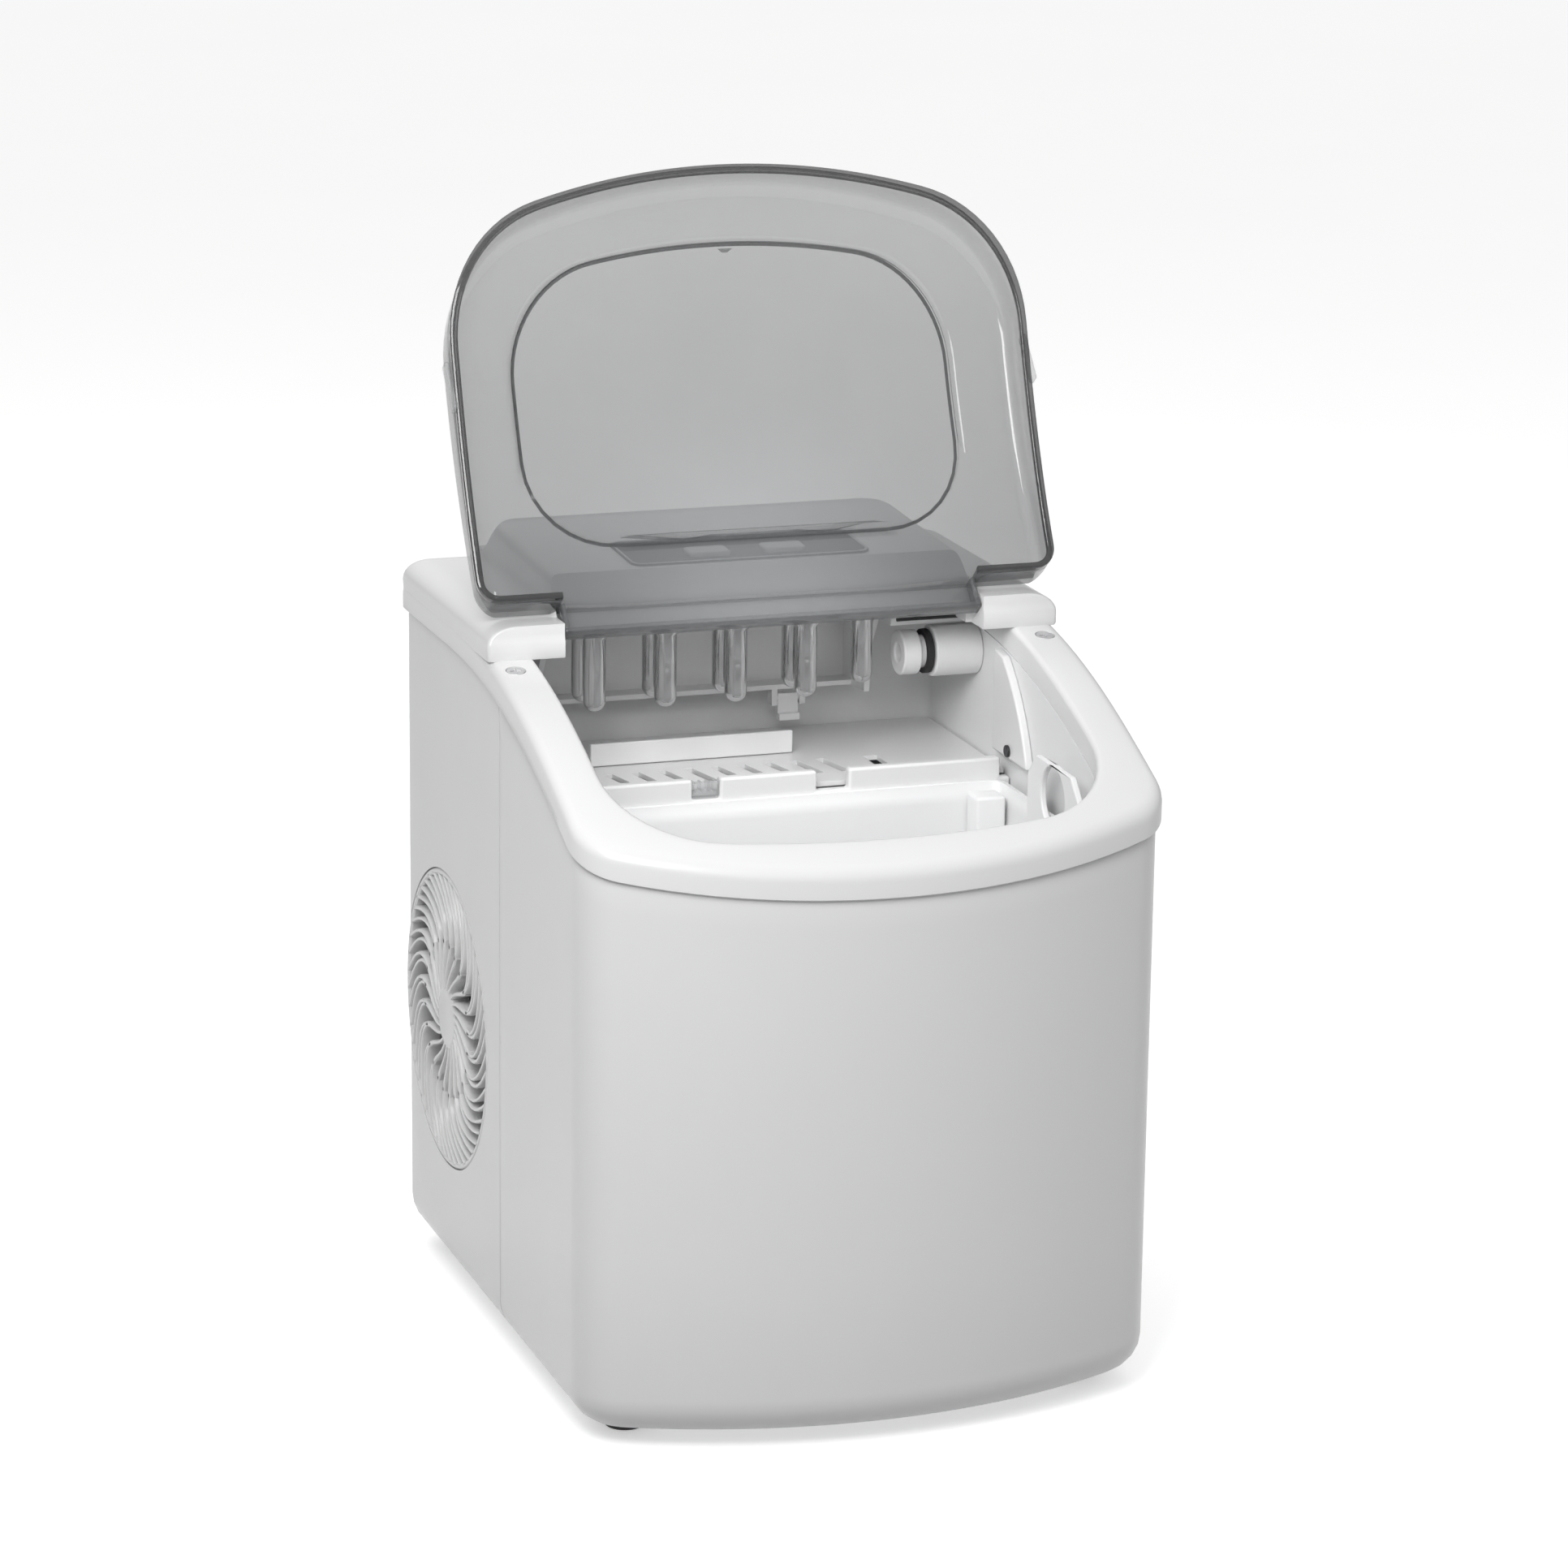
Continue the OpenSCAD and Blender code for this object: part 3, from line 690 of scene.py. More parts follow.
def applied(obj: bpy.types.Object) -> None:
    """Turn an object's modifiers into its mesh."""
    graph = bpy.context.evaluated_depsgraph_get()
    data = bpy.data.meshes.new_from_object(obj.evaluated_get(graph))
    obj.modifiers.clear()
    old, obj.data = obj.data, data
    data.name = obj.name
    bpy.data.meshes.remove(old)


def cut(obj: bpy.types.Object, tool: Shape, degrees: float = 38.0) -> None:
    """Take a shape out of an object and keep the result as its mesh.

    Args:
        obj: the object that is cut.
        tool: the shape taken away, in millimetres.
        degrees: edge angle for crisp shading.
    """
    other = tool.mesh("cutter")
    mod = obj.modifiers.new("cut", "BOOLEAN")
    mod.operation, mod.solver, mod.object = "DIFFERENCE", "EXACT", other
    mod.use_self = True
    applied(obj)
    bpy.data.objects.remove(other)
    crisp(obj, degrees)


def bevelled(obj: bpy.types.Object, width: float, segments: int = 2, angle: float = 40.0) -> None:
    """Round an object's crisp edges with a live bevel.

    Args:
        obj: the object.
        width: the bevel's width in millimetres.
        segments: its spans.
        angle: smallest edge angle that is rounded.
    """
    mod = obj.modifiers.new("edges", "BEVEL")
    mod.width, mod.segments, mod.limit_method = width * MM, segments, "ANGLE"
    mod.angle_limit = math.radians(angle)
    mod.harden_normals = False
    mod.use_clamp_overlap = True


def walled(obj: bpy.types.Object, thickness: float) -> bpy.types.Modifier:
    """Give a skin a live wall on its inside, in millimetres."""
    mod = obj.modifiers.new("wall", "SOLIDIFY")
    mod.thickness, mod.offset = thickness * MM, -1.0
    return mod


@dataclass
class Workshop:
    """Attaches pieces to their bodies and dresses them."""

    frame: dict[str, object]
    finishes: Finishes
    count: int = 0

    def add(self, piece: bpy.types.Object, body: Body, finish: str, slot: str,
            *nodes: str) -> bpy.types.Object:
        """Give a piece its finish, body and the nodes it stands for.

        Args:
            piece: the finished object.
            body: the body it rides on.
            finish: the finish's key.
            slot: not used.
            nodes: CAD nodes that it replaces.

        Returns:
            The piece.
        """
        piece.data.materials.clear()
        piece.data.materials.append(self.finishes.get(finish))
        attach(piece, body.value)
        if nodes:
            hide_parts(*nodes)
        self.count += 1
        LOG.info("%s: %d faces on %s", piece.name, len(piece.data.polygons), body.value)
        return piece

    def soften(self, node: str, body: Body, finish: str, slot: str, width: float = 0.5,
               segments: int = 2, angle: float = 32.0) -> bpy.types.Object:
        """Replace a CAD node by a merged copy with rounded edges.

        Args:
            node: the CAD node.
            body: the body it rides on.
            finish: the finish's key.
            slot: the record's material slot.
            width: bevel width in millimetres.
            segments: spans in the bevel.
            angle: smallest edge angle that is rounded.

        Returns:
            The new piece.
        """
        source = self.frame["nodes"][node]
        bm = bmesh.new()
        bm.from_mesh(source.data)
        bmesh.ops.remove_doubles(bm, verts=bm.verts, dist=2e-6)
        bmesh.ops.dissolve_limit(bm, angle_limit=math.radians(0.6), verts=bm.verts, edges=bm.edges)
        data = bpy.data.meshes.new(node + "_soft")
        bm.to_mesh(data)
        bm.free()
        piece = bpy.data.objects.new(node + "_soft", data)
        bpy.context.scene.collection.objects.link(piece)
        crisp(piece, angle)
        if width > 0:
            bevelled(piece, width, segments, angle)
        return self.add(piece, body, finish, slot, node)


# ---------------------------------------------------------------- sub-assemblies


@dataclass
class Housing:
    """Front wrap, rear shell with its vents, and the swirled side grille."""

    plan: Plan = field(default_factory=lambda: Plan(121, -150, 147, 23, 29.5, 12))
    seam: float = -4.0
    foot: float = 6.0
    wall: float = 2.5
    foot_radius: float = 17.0
    vent: tuple[float, float, float] = (79.0, 120.0, 64.0)
    cord_hole: tuple[float, float, float] = (70, 40, 7.2)
    drain_hole: tuple[float, float, float] = (-75, 36, 9.2)
    stems: int = 24
    hub: float = 13.0
    fork: float = 34.0
    grille_depth: float = 8.0

    def _rings(self, start: float, rear: bool) -> list[Ring]:
        """Rings of a wall from the rounded foot to the parting line."""
        rings = []
        for i in range(7):
            t = math.pi / 2 * i / 6
            k = self.foot_radius * (1 - math.sin(t))
            outline = self.plan.inset(k).wrap(start, rear)
            rings.append(lifted(outline, self.foot + self.foot_radius * (1 - math.cos(t))))
        outline = self.plan.wrap(start, rear)
        base = self.foot + self.foot_radius
        for u in (0.25, 0.5, 0.75, 0.94, 1.0):
            rings.append(lifted(outline, lambda y, u=u: base + (parting(y) - 0.4 - base) * u))
        return rings

    def front(self, shop: Workshop) -> None:
        """The front wrap, from seam to seam."""
        shape = Shape().loft(self._rings(self.seam, False), closed=False)
        piece = shape.mesh("front_wrap", 50)
        self._wall(piece)
        shop.add(piece, Body.MAIN, "shell", "white_plastic", "front_shell")

    def _wall(self, piece: bpy.types.Object) -> None:
        """Thicken a skin inwards whichever way its faces point, then round its rims."""
        centre = Vector((0, 0, 0.15))
        out = sum(1 if f.normal.dot(f.center - centre) > 0 else -1 for f in piece.data.polygons)
        if out < 0:
            piece.data.flip_normals()
        walled(piece, self.wall).use_even_offset = True
        bevelled(piece, 0.45, 2, 60)

    def rear(self, shop: Workshop) -> None:
        """The rear shell with round vent, slots and cord and drain holes."""
        shape = Shape().loft(self._rings(self.seam + 0.4, True), closed=False)
        piece = shape.mesh("rear_shell_body", 50)
        self._wall(piece)
        piece.modifiers.remove(piece.modifiers["edges"])
        applied(piece)
        y, z, r = self.vent
        tool = Shape()
        tool.drill((-self.plan.half_width - 2, y, z), "Y", r + 0.4, 20, 96)
        side_pitch, rear_pitch = 8, 9
        for i in range(9):
            start = 50 + i * side_pitch
            tool.box((110, start, 60), (130, start + 3.5, 150), 1.6, 4)
        for i in range(10):
            start = -60 + i * rear_pitch
            tool.box((start, 138, 190), (start + 4, 158, 240), 1.8, 4)
        for x, height, radius in (self.cord_hole, self.drain_hole):
            tool.drill((x, self.plan.rear + 1, height), "X", radius, 20, 48)
        cut(piece, tool, 40)
        bevelled(piece, 0.45, 2, 50)
        shop.add(piece, Body.MAIN, "shell", "white_plastic", "rear_shell")

    def _swing(self, rad: float) -> float:
        """How far a rib has swirled round the hub at a radius, in radians."""
        u = (rad - 12.0) / (self.vent[2] - 14.0)
        return math.radians(24) * math.sin(u * math.pi * 1.1) * (1 - 0.2 * u) + math.radians(6) * u

    def _rib(self, shape: Shape, start: float, end: float, spread: float,
             widths: tuple[float, float]) -> None:
        """Add one swirled rib between two radii.

        Args:
            shape: the shape it is added to.
            start: inner radius.
            end: outer radius.
            spread: how far it leaves the stem's path, in degrees.
            widths: half width at its inner and outer end.
        """
        rings = []
        for i in range(9):
            u = i / 8
            rad = start + (end - start) * u
            turn = self._swing(rad) + math.radians(spread) * math.sin(u * math.pi / 2)
            mid = Vector((0, -math.sin(turn), math.cos(turn))) * rad
            side = Vector((0, math.cos(turn), math.sin(turn))) * (widths[0] + (widths[1] - widths[0]) * u)
            deep, edge = Vector((self.grille_depth, 0, 0)), Vector((0.6, 0, 0))
            rings.append([mid + side + edge, mid + side * 0.55, mid - side * 0.55, mid - side + edge,
                          mid - side + deep, mid + side + deep])
        shape.loft(rings, cap_last=True, cap_first=True)

    def grille(self, shop: Workshop) -> None:
        """Round grille whose stems swirl out of a hub and fork towards the rim."""
        y, z, r = self.vent
        hub, deep, share = self.hub, self.grille_depth, math.tau / self.stems
        shape = Shape()
        self._rib(shape, hub - 1.0, self.fork, 0.0, (0.9, 1.25))
        for side in (-1, 1):
            self._rib(shape, self.fork - 1.5, r - 1.5, side * math.degrees(share) / 4, (0.8, 1.45))
        geom = shape.bm.verts[:] + shape.bm.edges[:] + shape.bm.faces[:]
        bmesh.ops.spin(shape.bm, geom=geom, axis=(1, 0, 0), cent=(0, 0, 0), steps=self.stems - 1,
                       angle=math.tau - share, use_duplicate=True)
        turn = Matrix.Rotation(math.pi / 2, 4, "Y")
        ring = [(r - 2.6, 0.7), (r - 1.9, 0.0), (r - 0.7, 0.0), (r, 0.6), (r, deep), (r - 2.6, deep),
                (r - 2.6, 0.7)]
        shape.turned(ring, turn, 96)
        disc = [(0, 0.9), (hub * 0.55, 0.7), (hub * 0.8, 0.2), (hub - 0.8, 0.0), (hub, 0.5), (hub, deep),
                (0, deep)]
        shape.turned(disc, turn, 48)
        shape.move(Matrix.Translation((-self.plan.half_width, y, z)))
        shop.add(shape.mesh("swirl_grille", 40), Body.MAIN, "shell", "white_plastic", "vent_grille")

    def build(self, shop: Workshop) -> None:
        """Build the housing and its small parts."""
        self.front(shop)
        self.rear(shop)
        self.grille(shop)
        for row in (
            ("base_pan", Body.MAIN, "inner", "inner_white", 0.6),
            ("rubber_feet", Body.MAIN, "rubber", "black_rubber", 0.7),
            ("cord_gland", Body.MAIN, "rubber", "black_rubber", 0.8, 3),
            ("drain_port", Body.MAIN, "inner", "inner_white", 0.4),
            ("drain_plug", Body.PLUG, "rubber", "black_rubber", 0.8, 3),
        ):
            shop.soften(*row)


@dataclass
class TopFrame:
    """The sloping ring round the ice opening, with its two screws."""

    outer: Plan = field(default_factory=lambda: Plan(123, -152, 149, 24, 30, 12))
    opening: Plan = field(default_factory=lambda: Plan(103, -131, 140, 45, 12, 6))
    thickness: float = 12.0

    def build(self, shop: Workshop) -> None:
        """Build the frame and its screws."""
        t = self.thickness
        rings = []
        for k, h in ((0.5, 0.0), (0.0, 0.6), (0.0, t - 5)):
            rings.append(lifted(self.outer.inset(k).closed(), lambda y, h=h: parting(y) + h))
        for i in range(1, 6):
            a = math.pi / 2 * i / 5
            k, h = 5 * (1 - math.cos(a)), t - 5 + 5 * math.sin(a)
            rings.append(lifted(self.outer.inset(k).closed(), lambda y, h=h: parting(y) + h))
        inner_edge = lifted(self.opening.inset(-2.5).closed(), 0.0)
        for u in (0.3, 0.6, 1.0):
            rings.append(mixed(rings[7], inner_edge, u, lambda y: parting(y) + t))
        for i in range(1, 5):
            a = math.pi / 2 * i / 4
            k, h = -2.5 + 2.5 * math.sin(a), t - 2.5 + 2.5 * math.cos(a)
            rings.append(lifted(self.opening.inset(k).closed(), lambda y, h=h: parting(y) + h))
        rings.append(lifted(self.opening.closed(), lambda y: parting(y) + 0.3))
        piece = Shape().loft(rings, join_ends=True).mesh("top_ring", 60)
        tool = Shape()
        for s in (-1, 1):
            slope = math.atan((parting(-2) - parting(-6)) / 4)
            seat = Matrix.Translation((s * 114, -4, parting(-4) + t)) @ Matrix.Rotation(slope, 4, "X")
            bmesh.ops.create_cone(tool.bm, cap_ends=True, segments=40, radius1=4.0, radius2=4.4,
                                  depth=3.2, matrix=seat)
        cut(piece, tool, 42)
        shop.add(piece, Body.MAIN, "frame", "white_plastic", "top_frame")
        shop.soften("frame_screws", Body.MAIN, "steel", "steel", 0.25, 2)


@dataclass
class ControlCover:
    """Raised rear cover with side shoulders, control film, lamps and keys."""

    plan: Plan = field(default_factory=lambda: Plan(123, 5.5, 149, 1.5, 0.05, 12, 10, 4))
    plateau: Plan = field(default_factory=lambda: Plan(90, 17.8, 146, 3.0, 0.05, 14, 10, 4))
    shoulder: float = 306.0
    radius: float = 13.0
    key_y: float = 49.0
    key_x: float = 16.5
    panel_y: float = 56.0
    tilt: float = 2.73

    def _tilted(self, y: float, z: float) -> Matrix:
        """A place on the sloping top, turned with it."""
        return Matrix.Translation((0, y, z)) @ Matrix.Rotation(math.radians(self.tilt), 4, "X")

    def top(self, y: float) -> float:
        """Height of the sloping top."""
        return 320.3 + (min(y, 122) - 34) * 4.2 / 88

    def shell(self, shop: Workshop) -> None:
        """The cover's body."""
        z0, r = self.shoulder, self.radius
        rings = [lifted(self.plan.inset(0.4).closed(), lambda y: parting(y) + 12.1),
                 lifted(self.plan.closed(), lambda y: parting(y) + 12.6)]
        rings[0] = [Vector((p.x, p.y, min(p.z, z0 - r - 1.0) if p.y > 5 else p.z)) for p in rings[0]]
        low = parting(80) + 13.0
        for i in range(0, 9):
            a = math.pi / 2 * i / 8
            k = r * (1 - math.cos(a))
            h = low + (z0 - low) * math.sin(a)
            rings.append(lifted(self.plan.inset(k, min(k, 0.8), k).closed(), h))
        foot = self.plateau
        last = rings[-1]
        base = foot.inset(-8, 0, -2)
        rings.append([p.lerp(Vector((q[0], q[1], z0)), 0.6) for p, q in zip(last, base.closed())])
        steps = ((-8, 0.0), (-5.0, 0.015), (-2.6, 0.07), (-1.0, 0.2), (0.0, 0.42), (0.7, 0.7), (1.5, 0.88),
                 (2.8, 0.965), (4.6, 1.0))
        for k, u in steps:
            back = -2 + (u**0.8) * 24
            front = 0.0 if u < 0.5 else (u - 0.5) * 6.0
            ring = foot.inset(k, front, back).closed()
            rings.append(lifted(ring, lambda y, u=u: z0 + (self.top(y) - z0) * u))
        piece = Shape().loft(rings, cap_last=True, cap_first=True).mesh("sloping_cover", 40)
        tool = Shape()
        slant = [(-40, 200), (17.8, 200), (17.8, 301.5), (52, 341.2), (52, 400), (-40, 400)]
        tool.bar(slant, -90.4, 90.4)
        cut(piece, tool, 40)
        tool = Shape()
        tool.box((-88, 20.2, 200), (88, 145, 301))
        tool.box((-87.9, 28.5, 210), (87.9, 144.9, 310))
        tool.box((-90.39, 10, 200), (90.39, 20.3, 300))
        for s in (-1, 1):
            matrix = (self._tilted(self.key_y, self.top(self.key_y))
                      @ Matrix.Translation((s * self.key_x, 0, 0)))
            hole = Shape().box((-9.3, -5.8, -14), (9.3, 5.8, 4))
            hole.move(matrix)
            data = bpy.data.meshes.new("hole")
            hole.bm.to_mesh(data)
            tool.bm.from_mesh(data)
        cut(piece, tool, 40)
        bevelled(piece, 0.9, 3, 50)
        shop.add(piece, Body.MAIN, "frame", "white_plastic", "control_cover")
        strip = [(137, 304.5), (137, 309.0), (141.0, 309.7), (145.2, 307.1), (145.2, 304.5)]
        back = Shape().bar(strip, -88.4, 88.4)
        shop.add(back.mesh("cover_back", 30), Body.MAIN, "frame", "white_plastic")

    def panel(self, shop: Workshop) -> None:
        """Control film with a paler rim, lamps and two keys."""
        shop.soften("control_overlay", Body.MAIN, "panel", "panel_grey", 0.15, 1)
        low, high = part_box("control_overlay")
        plan = Plan(51.6, -18.6, 18.6, 5, 0.02, 5, 6, 6)
        rings = [lifted(plan.closed(), 0.0), lifted(plan.closed(), 0.25),
                 lifted(plan.inset(0.9).closed(), 0.25), lifted(plan.inset(0.9).closed(), 0.0)]
        shape = Shape().loft(rings, join_ends=True).move(self._tilted(self.panel_y, 0))
        lift = (low.z + high.z) / 2 / MM + 0.36
        shape.move(Matrix.Translation((0, 0, lift)))
        shop.add(shape.mesh("panel_rim"), Body.MAIN, "border", "button_grey")
        for row in (
            ("indicator_lenses", Body.MAIN, "lens", "lens_grey", 0.3, 2),
            ("power_button", Body.POWER, "button", "button_grey", 0.9, 3),
            ("select_button", Body.SELECT, "button", "button_grey", 0.9, 3),
            ("circuit_board", Body.MAIN, "board", "circuit_green", 0.2, 1),
        ):
            shop.soften(*row)

    def build(self, shop: Workshop) -> None:
        """Build cover and panel."""
        self.shell(shop)
        self.panel(shop)


@dataclass
class Lid:
    """Smoked clear lid with a framed window, thick rim, tongue and finger tabs."""

    plan: Plan = field(default_factory=lambda: Plan(124.4, -164, 3, 56, 27, 9, 18, 14, 89.7))
    window: Plan = field(default_factory=lambda: Plan(94.5, -141.5, -25, 44, 13, 36, 18, 14, 52))
    wall: float = 2.2
    shoulder: float = 6.0
    gap: float = 89.7
    open_angle: float = 131.0
    hinge: tuple[float, float] = (12.0, 302.5)

    def _turn(self) -> Matrix:
        """From the closed lid to the open one."""
        pivot = Vector((0, *self.hinge))
        return (Matrix.Translation(pivot) @ Matrix.Rotation(math.radians(-self.open_angle), 4, "X")
                @ Matrix.Translation(-pivot))

    def _skirt(self, y: float) -> float:
        """Height of the skirt's lower edge."""
        return parting(y) + 12.7

    def panel(self, shop: Workshop) -> None:
        """The clear panel, its rounded shoulder and the stepped window."""
        rings = []
        r = self.shoulder
        for u in (0.25, 0.6):
            rings.append(lifted(self.plan.closed(),
                                lambda y, u=u: self._skirt(y) * (1 - u) + (lid_top(y) - r) * u))
        for i in range(0, 7):
            a = math.pi / 2 * i / 6
            ring = self.plan.inset(r * (1 - math.cos(a)), None, 0)
            rings.append(lifted(ring.closed(), lambda y, a=a: lid_top(y) - r + r * math.sin(a)))
        edge = rings[-1]
        win = lifted(self.window.closed(), 0.0)
        for u in (0.2, 0.4, 0.6, 0.8, 0.97, 1.0):
            rings.append(mixed(edge, win, u, lid_top))
        deep = self.window.inset(2.0).closed()
        for points in (self.window.inset(0.9).closed(), deep, [(x * 0.6, y) for x, y in deep]):
            rings.append(lifted(points, lambda y: lid_top(y) - 1.3))
        shape = Shape().loft(rings, cap_last=True)
        shape.drop(lambda p: abs(p.x) < self.gap and p.y > 2.9 and p.z < 306.2)
        shape.move(self._turn())
        piece = shape.mesh("lid_panel", 40)
        if piece.data.polygons[-1].normal.dot(Vector((0, 1, -0.3))) < 0:
            piece.data.flip_normals()
        walled(piece, self.wall)
        shop.add(piece, Body.LID, "smoked", "smoked_clear", "lid_shell")

    def rim(self, shop: Workshop) -> None:
        """The thick dark rim round the skirt, and the window's raised line."""
        rings = []
        for k, h in ((0.0, 2.6), (-0.4, 2.2), (-0.5, 0.7), (0.0, 0.2), (2.2, 0.2), (2.7, 0.7), (2.7, 2.2),
                     (2.3, 2.6)):
            ring = self.plan.inset(k, k, max(k, 0))
            rings.append(lifted(ring.closed(), lambda y, h=h: self._skirt(y) + h))
        shape = Shape().loft(rings, join_ends=True)
        shape.drop(lambda p: abs(p.x) < self.gap and p.y > -2, refill=True)
        rings = []
        for k, h in ((-0.7, 0.1), (-0.5, 0.6), (0.2, 0.7), (0.7, 0.1), (0.5, -0.6)):
            rings.append(lifted(self.window.inset(k).closed(), lambda y, h=h: lid_top(y) + h - 0.3))
        shape.loft(rings, join_ends=True)
        shape.move(self._turn())
        shop.add(shape.mesh("lid_rim", 50), Body.LID, "smoked_rim", "smoked_clear")

    def tongue(self, shop: Workshop) -> None:
        """The strip between the shoulders that carries the hinge pins."""
        shape = Shape()
        side = self.gap
        shape.box((-side, 2.6, 304.1), (side, 15.4, 306.3), 0.3, 2)
        shape.box((-side, 13.4, 298.6), (side, 15.4, 305.2), 0.6, 2)
        for s in (-1, 1):
            x = sorted((s * 87.6, s * side))
            shape.box((x[0], 2.4, 298.6), (x[1], 15.2, 305.2), 0.6, 2)
        shape.move(self._turn())
        shop.add(shape.mesh("lid_tongue", 45), Body.LID, "smoked", "smoked_clear")
        shape = Shape()
        low = parting(-85) + 15.0
        for s in (-1, 1):
            x = sorted((s * 124.3, s * 126.6))
            shape.box((x[0], -96, low), (x[1], -74, parting(-85) + 20.5), 1.0, 3)
        shape.move(self._turn())
        shop.add(shape.mesh("lid_tabs", 45), Body.LID, "clear", "smoked_clear")
        shop.soften("lid_hinge_pins", Body.LID, "smoked_rim", "smoked_clear", 0.3, 2)

    def build(self, shop: Workshop) -> None:
        """Build the lid."""
        self.panel(shop)
        self.rim(shop)
        self.tongue(shop)


@dataclass
class Basket:
    """Lift-out ice basket with two finger loops and two side steps."""

    plan: Plan = field(default_factory=lambda: Plan(97, -125, 1.2, 38, 11, 4))
    rim: float = 228.0
    floor: float = 46.0
    wall: float = 2.0
    side: float = 95.6
    loop_y: float = -69.0
    loop_z: float = 238.5
    loop_hole: float = 13.0

    def build(self, shop: Workshop) -> None:
        """Build the basket and its finger loops."""
        rings = []
        for z, k in ((self.floor, 9), (46.8, 5), (50.0, 3.2), (120, 1.8), (200, 0.8), (220, 0.6),
                     (224, 0.6), (225, 0.0), (self.rim, 0.0)):
            rings.append(lifted(self.plan.inset(k).closed(), z))
        shape = Shape().loft(rings, cap_first=True)
        piece = shape.mesh("ice_bucket", 45)
        if piece.data.polygons[60].normal.dot(piece.data.polygons[60].center) < 0:
            piece.data.flip_normals()
        walled(piece, self.wall)
        bevelled(piece, 0.6, 3, 60)
        shop.add(piece, Body.BASKET, "basket", "white_plastic", "ice_basket")
        loops = Shape()
        outline = [(self.loop_y + a, b) for a, b in
                   ((-28, 198), (28, 198), (28, 243), (19, 252), (-19, 252), (-28, 243))]
        for s in (-1, 1):
            loops.bar(outline, s * self.side, s * (self.side - 2.6))
        piece = loops.mesh("basket_loops", 40)
        cut(piece, Shape().drill((0, self.loop_y, self.loop_z), "Y", self.loop_hole, 240, 56), 40)
        bevelled(piece, 0.7, 3, 35)
        shop.add(piece, Body.BASKET, "basket", "white_plastic")
        step = Shape()
        for s in (-1, 1):
            x = sorted((s * 82, s * 95))
            step.box((x[0], -13, 120), (x[1], -0.6, 225), 1.5, 3)
        shop.add(step.mesh("basket_steps"), Body.BASKET, "basket", "white_plastic")


@dataclass
class IceWorks:
    """Fingers, tray, shovel and everything else inside the chamber."""

    first: float = -72.0
    pitch: float = 30.5
    radius: float = 4.65
    bottom: float = 263.5

    def fingers(self, shop: Workshop) -> None:
        """Nine plated fingers with domed ends and a small collar."""
        shape = Shape()
        r, z = self.radius, self.bottom
        turns = [math.pi / 2 * i / 8 for i in range(9)]
        profile = [(r * math.sin(t), z + r - r * math.cos(t)) for t in turns]
        profile += [(r, 280.0), (r, 294.0), (r + 1.2, 295.2), (r + 1.2, 297.2), (0, 297.2)]
        for row, y in ((0, 26.0), (1, 43.0)):
            for i in range(4 + row):
                shape.turned(profile, Matrix.Translation((self.first + i * self.pitch, y, 0)), 32)
        shop.add(shape.mesh("plated_fingers", 45), Body.MAIN, "chrome", "steel", "freezing_fingers")

    def build(self, shop: Workshop) -> None:
        """Build the inside of the ice chamber."""
        self.fingers(shop)
        main = Body.MAIN
        for row in (
            ("inner_tub", main, "inner", "inner_white", 0.9, 3, 30),
            ("ice_guide", main, "frame", "white_plastic", 1.2, 4),
            ("clear_guide", main, "clear", "smoked_clear", 0.25, 2),
            ("drip_grate", main, "frame", "white_plastic", 0.6, 3),
            ("chamber_roof", main, "inner", "inner_white", 0.5),
            ("evaporator_block", main, "aluminium", "aluminium", 0.9, 3),
            ("refrigerant_line", main, "copper", "copper", 0.0),
            ("tray_bracket", main, "inner", "inner_white", 1.2, 3),
            ("tray_motor", main, "inner", "inner_white", 1.5, 3),
            ("water_spout", main, "frame", "white_plastic", 0.8, 3),
            ("spout_seal", main, "rubber", "black_rubber", 0.5, 3),
            ("water_tray", Body.TRAY, "frame", "white_plastic", 0.8, 3),
            ("tray_shaft", Body.TRAY, "steel", "grey_steel", 0.3, 2),
            ("push_arm", Body.ARM, "frame", "white_plastic", 0.4, 3),
            ("ice_shovel", Body.SHOVEL, "frame", "white_plastic", 0.6, 3),
            ("sensor_cover_left", main, "frame", "white_plastic", 0.9, 3, 30),
            ("sensor_cover_right", main, "frame", "white_plastic", 0.9, 3, 30),
            ("sensor_lenses", main, "black", "black_plastic", 0.4, 3),
            ("sensor_wire", main, "rubber", "black_rubber", 0.0),
        ):
            shop.soften(*row)


@dataclass
class Machinery:
    """Cooling and water parts in the rear of the housing."""

    def build(self, shop: Workshop) -> None:
        """Dress the parts seen through the vents."""
        main = Body.MAIN
        for row in (
            ("compressor", main, "enamel", "black_steel", 0.8, 3),
            ("condenser", main, "aluminium", "aluminium", 0.15, 1),
            ("fan_shroud", main, "black", "black_plastic", 0.6, 2),
            ("fan_motor", main, "grey", "grey_steel", 0.8, 3),
            ("fan_rotor", Body.FAN, "black", "black_plastic", 0.5, 2),
            ("water_pump", main, "grey", "inner_white", 1.2, 3),
            ("water_hose", main, "hose", "hose_clear", 0.0),
        ):
            shop.soften(*row)


# ---------------------------------------------------------------- stage


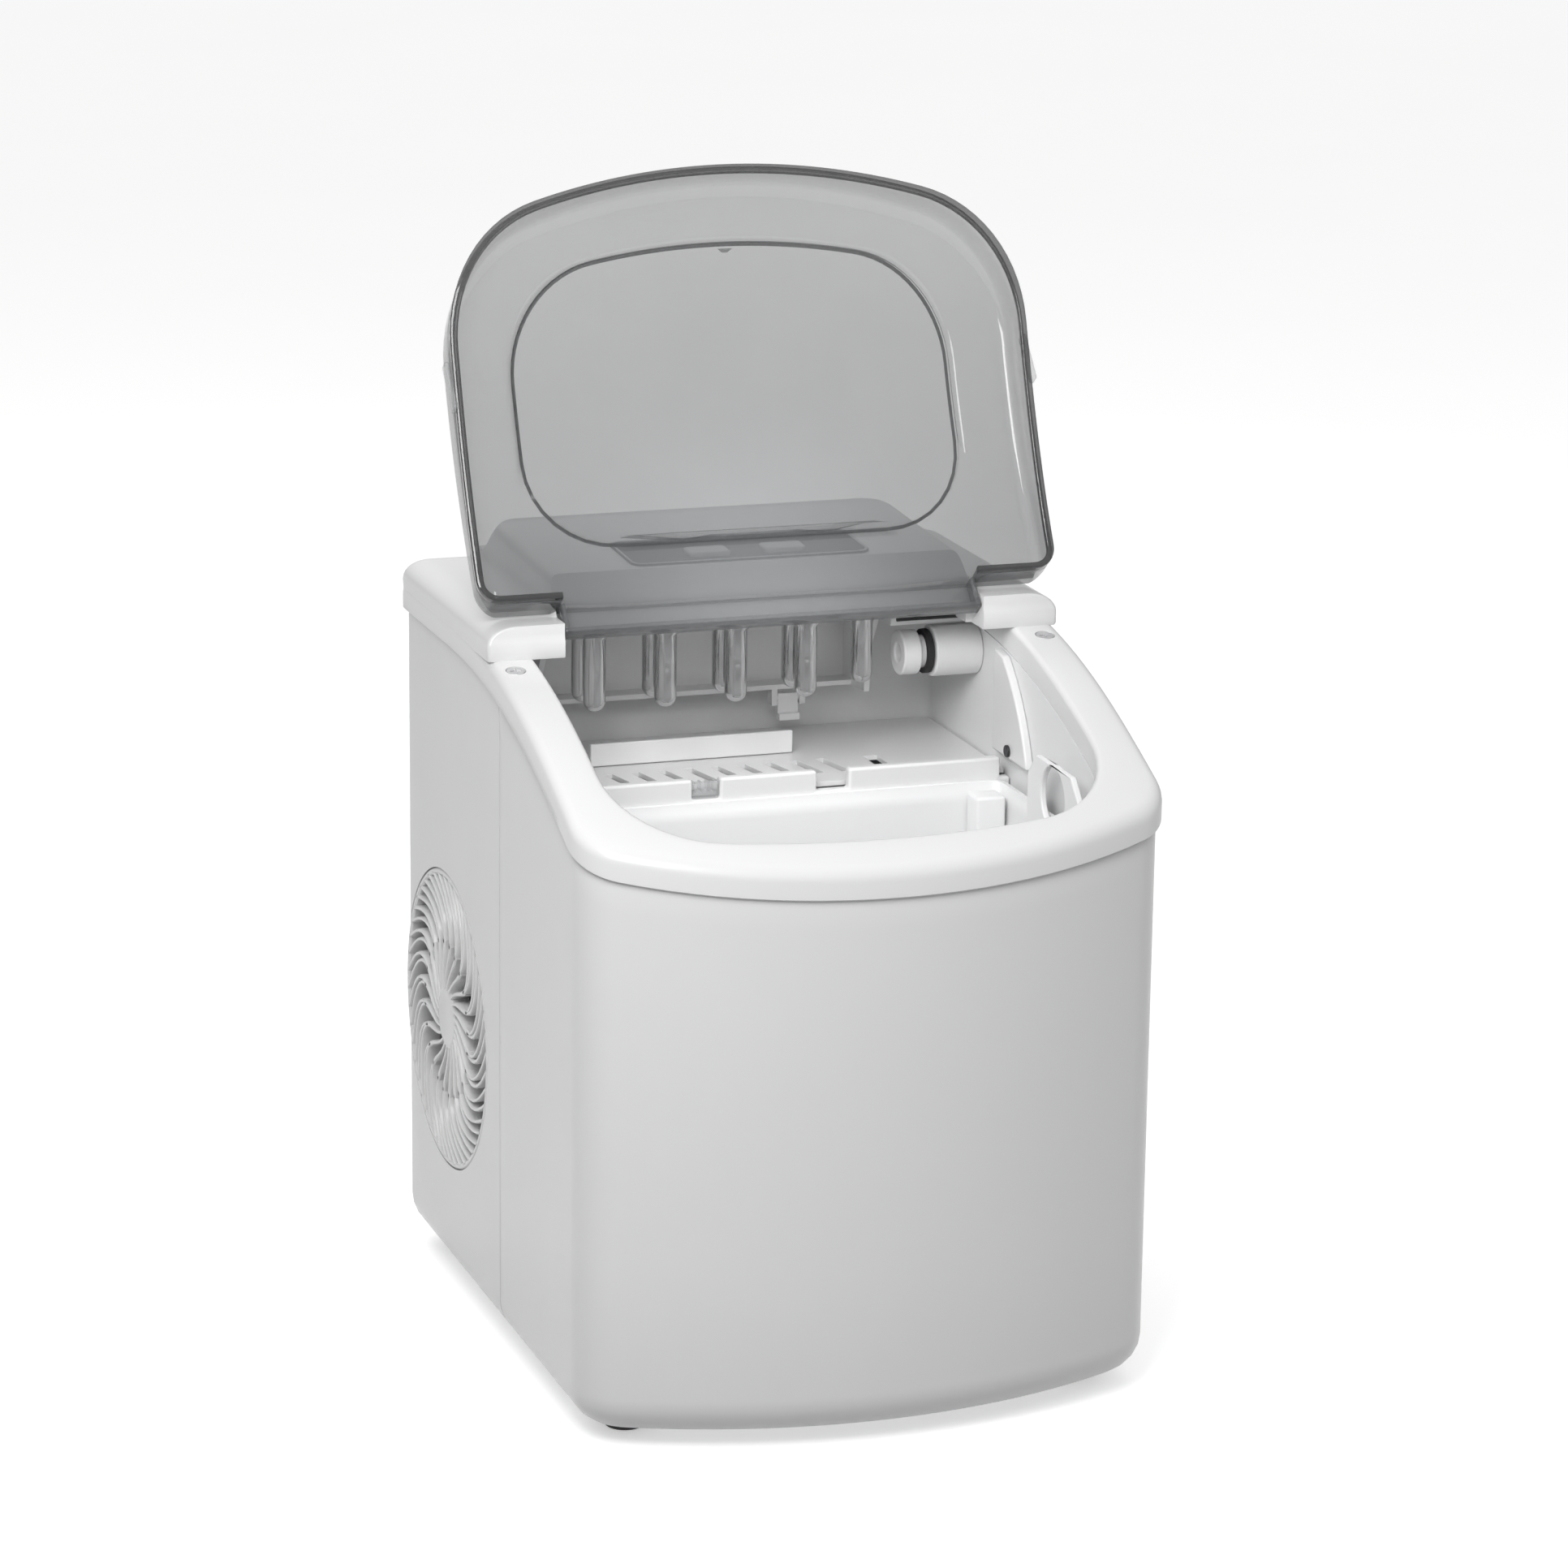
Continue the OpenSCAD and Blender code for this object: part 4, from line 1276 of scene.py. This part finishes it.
@dataclass
class Studio:
    """Pale floor, soft lamps and the camera."""

    eye: tuple[float, float, float] = (-0.69319, -2.02516, 0.80228)
    azimuth: float = -18.94
    elevation: float = 14.87
    roll: float = 0.70
    lens: float = 123.6

    def camera(self) -> None:
        """Place the camera."""
        a, e, r = (math.radians(v) for v in (self.azimuth, self.elevation, self.roll))
        back = Vector((math.sin(a) * math.cos(e), -math.cos(a) * math.cos(e), math.sin(e)))
        right = Vector((math.cos(a), math.sin(a), 0))
        up = back.cross(right)
        x = right * math.cos(r) + up * math.sin(r)
        y = -right * math.sin(r) + up * math.cos(r)
        data = bpy.data.cameras.new("camera")
        data.lens, data.sensor_width = self.lens, 36.0
        data.clip_start, data.clip_end = 0.05, 50.0
        cam = bpy.data.objects.new("camera", data)
        rotation = Matrix((x, y, back)).transposed().to_4x4()
        cam.matrix_world = Matrix.Translation(self.eye) @ rotation
        bpy.context.scene.collection.objects.link(cam)
        bpy.context.scene.camera = cam

    def lamp(self, name: str, place: tuple[float, float, float], size: float, power: float,
             target: tuple[float, float, float] = (0.0, 0.0, 0.2), mirrored: bool = True) -> None:
        """Add one square soft lamp aimed at a target and not seen itself."""
        data = bpy.data.lights.new(name, "AREA")
        data.size, data.energy = size, power
        lamp = bpy.data.objects.new(name, data)
        lamp.location = place
        aim = Vector(target) - Vector(place)
        lamp.visible_camera = False
        lamp.visible_glossy = mirrored
        lamp.rotation_euler = aim.to_track_quat("-Z", "Y").to_euler()
        bpy.context.scene.collection.objects.link(lamp)

    def floor(self) -> None:
        """A pale floor that is not part of the object."""
        bm = bmesh.new()
        bmesh.ops.create_grid(bm, x_segments=1, y_segments=1, size=14.0)
        data = bpy.data.meshes.new("floor")
        bm.to_mesh(data)
        bm.free()
        obj = bpy.data.objects.new("floor", data)
        bpy.context.scene.collection.objects.link(obj)
        g = Graph("pale_floor")
        g.feed("Base Color", g.blend(g.noise(3.0), (0.93, 0.93, 0.93), (0.96, 0.96, 0.96)))
        g.feed("Roughness", 0.9)
        g.feed("Specular IOR Level", 0.1)
        g.feed("Emission Color", (1.0, 1.0, 1.0, 1.0))
        g.feed("Emission Strength", 0.4)
        obj.visible_diffuse = False
        data.materials.append(g.material)

    def build(self) -> None:
        """Set the whole stage."""
        scene = bpy.context.scene
        scene.view_settings.view_transform = "Standard"
        world = bpy.data.worlds.new("studio")
        scene.world = world
        world.use_nodes = True
        tree = world.node_tree
        place = tree.nodes.new("ShaderNodeTexCoord")
        split = tree.nodes.new("ShaderNodeSeparateXYZ")
        ramp = tree.nodes.new("ShaderNodeValToRGB")
        for stop, (spot, value) in zip(ramp.color_ramp.elements, ((0.0, 0.44), (0.9, 0.80))):
            stop.position, stop.color = spot, (value, value, value, 1.0)
        tree.links.new(place.outputs["Generated"], split.inputs[0])
        tree.links.new(split.outputs["Z"], ramp.inputs[0])
        tree.links.new(ramp.outputs[0], tree.nodes["Background"].inputs[0])
        tree.nodes["Background"].inputs[1].default_value = 0.8
        self.floor()
        self.camera()
        self.lamp("key", (-0.4, -0.62, 0.78), 0.4, 4.6)
        self.lamp("rear", (0.15, 1.0, 1.6), 1.2, 6.0, mirrored=False)
        self.lamp("front", (-0.3, -1.7, 1.3), 0.7, 3.0, mirrored=False)
        self.lamp("cover", (0.0, 0.27, 0.58), 0.15, 0.32, (0.0, 0.075, 0.32), mirrored=False)
        self.lamp("chamber", (0.0, -0.035, 0.335), 0.09, 0.07, (0.0, 0.07, 0.24), mirrored=False)


def main() -> None:
    """Build the ice maker in order."""
    logging.basicConfig(level=logging.INFO, format="%(name)s: %(message)s")
    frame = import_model()
    shop = Workshop(frame, Finishes())
    for part in (Housing(), TopFrame(), ControlCover(), Lid(), Basket(), IceWorks(), Machinery()):
        part.build(shop)
        LOG.info("%s done", type(part).__name__)
    Studio().build()
    bpy.context.view_layer.update()
    LOG.info("%d pieces", shop.count)


if __name__ == "__main__":
    main()
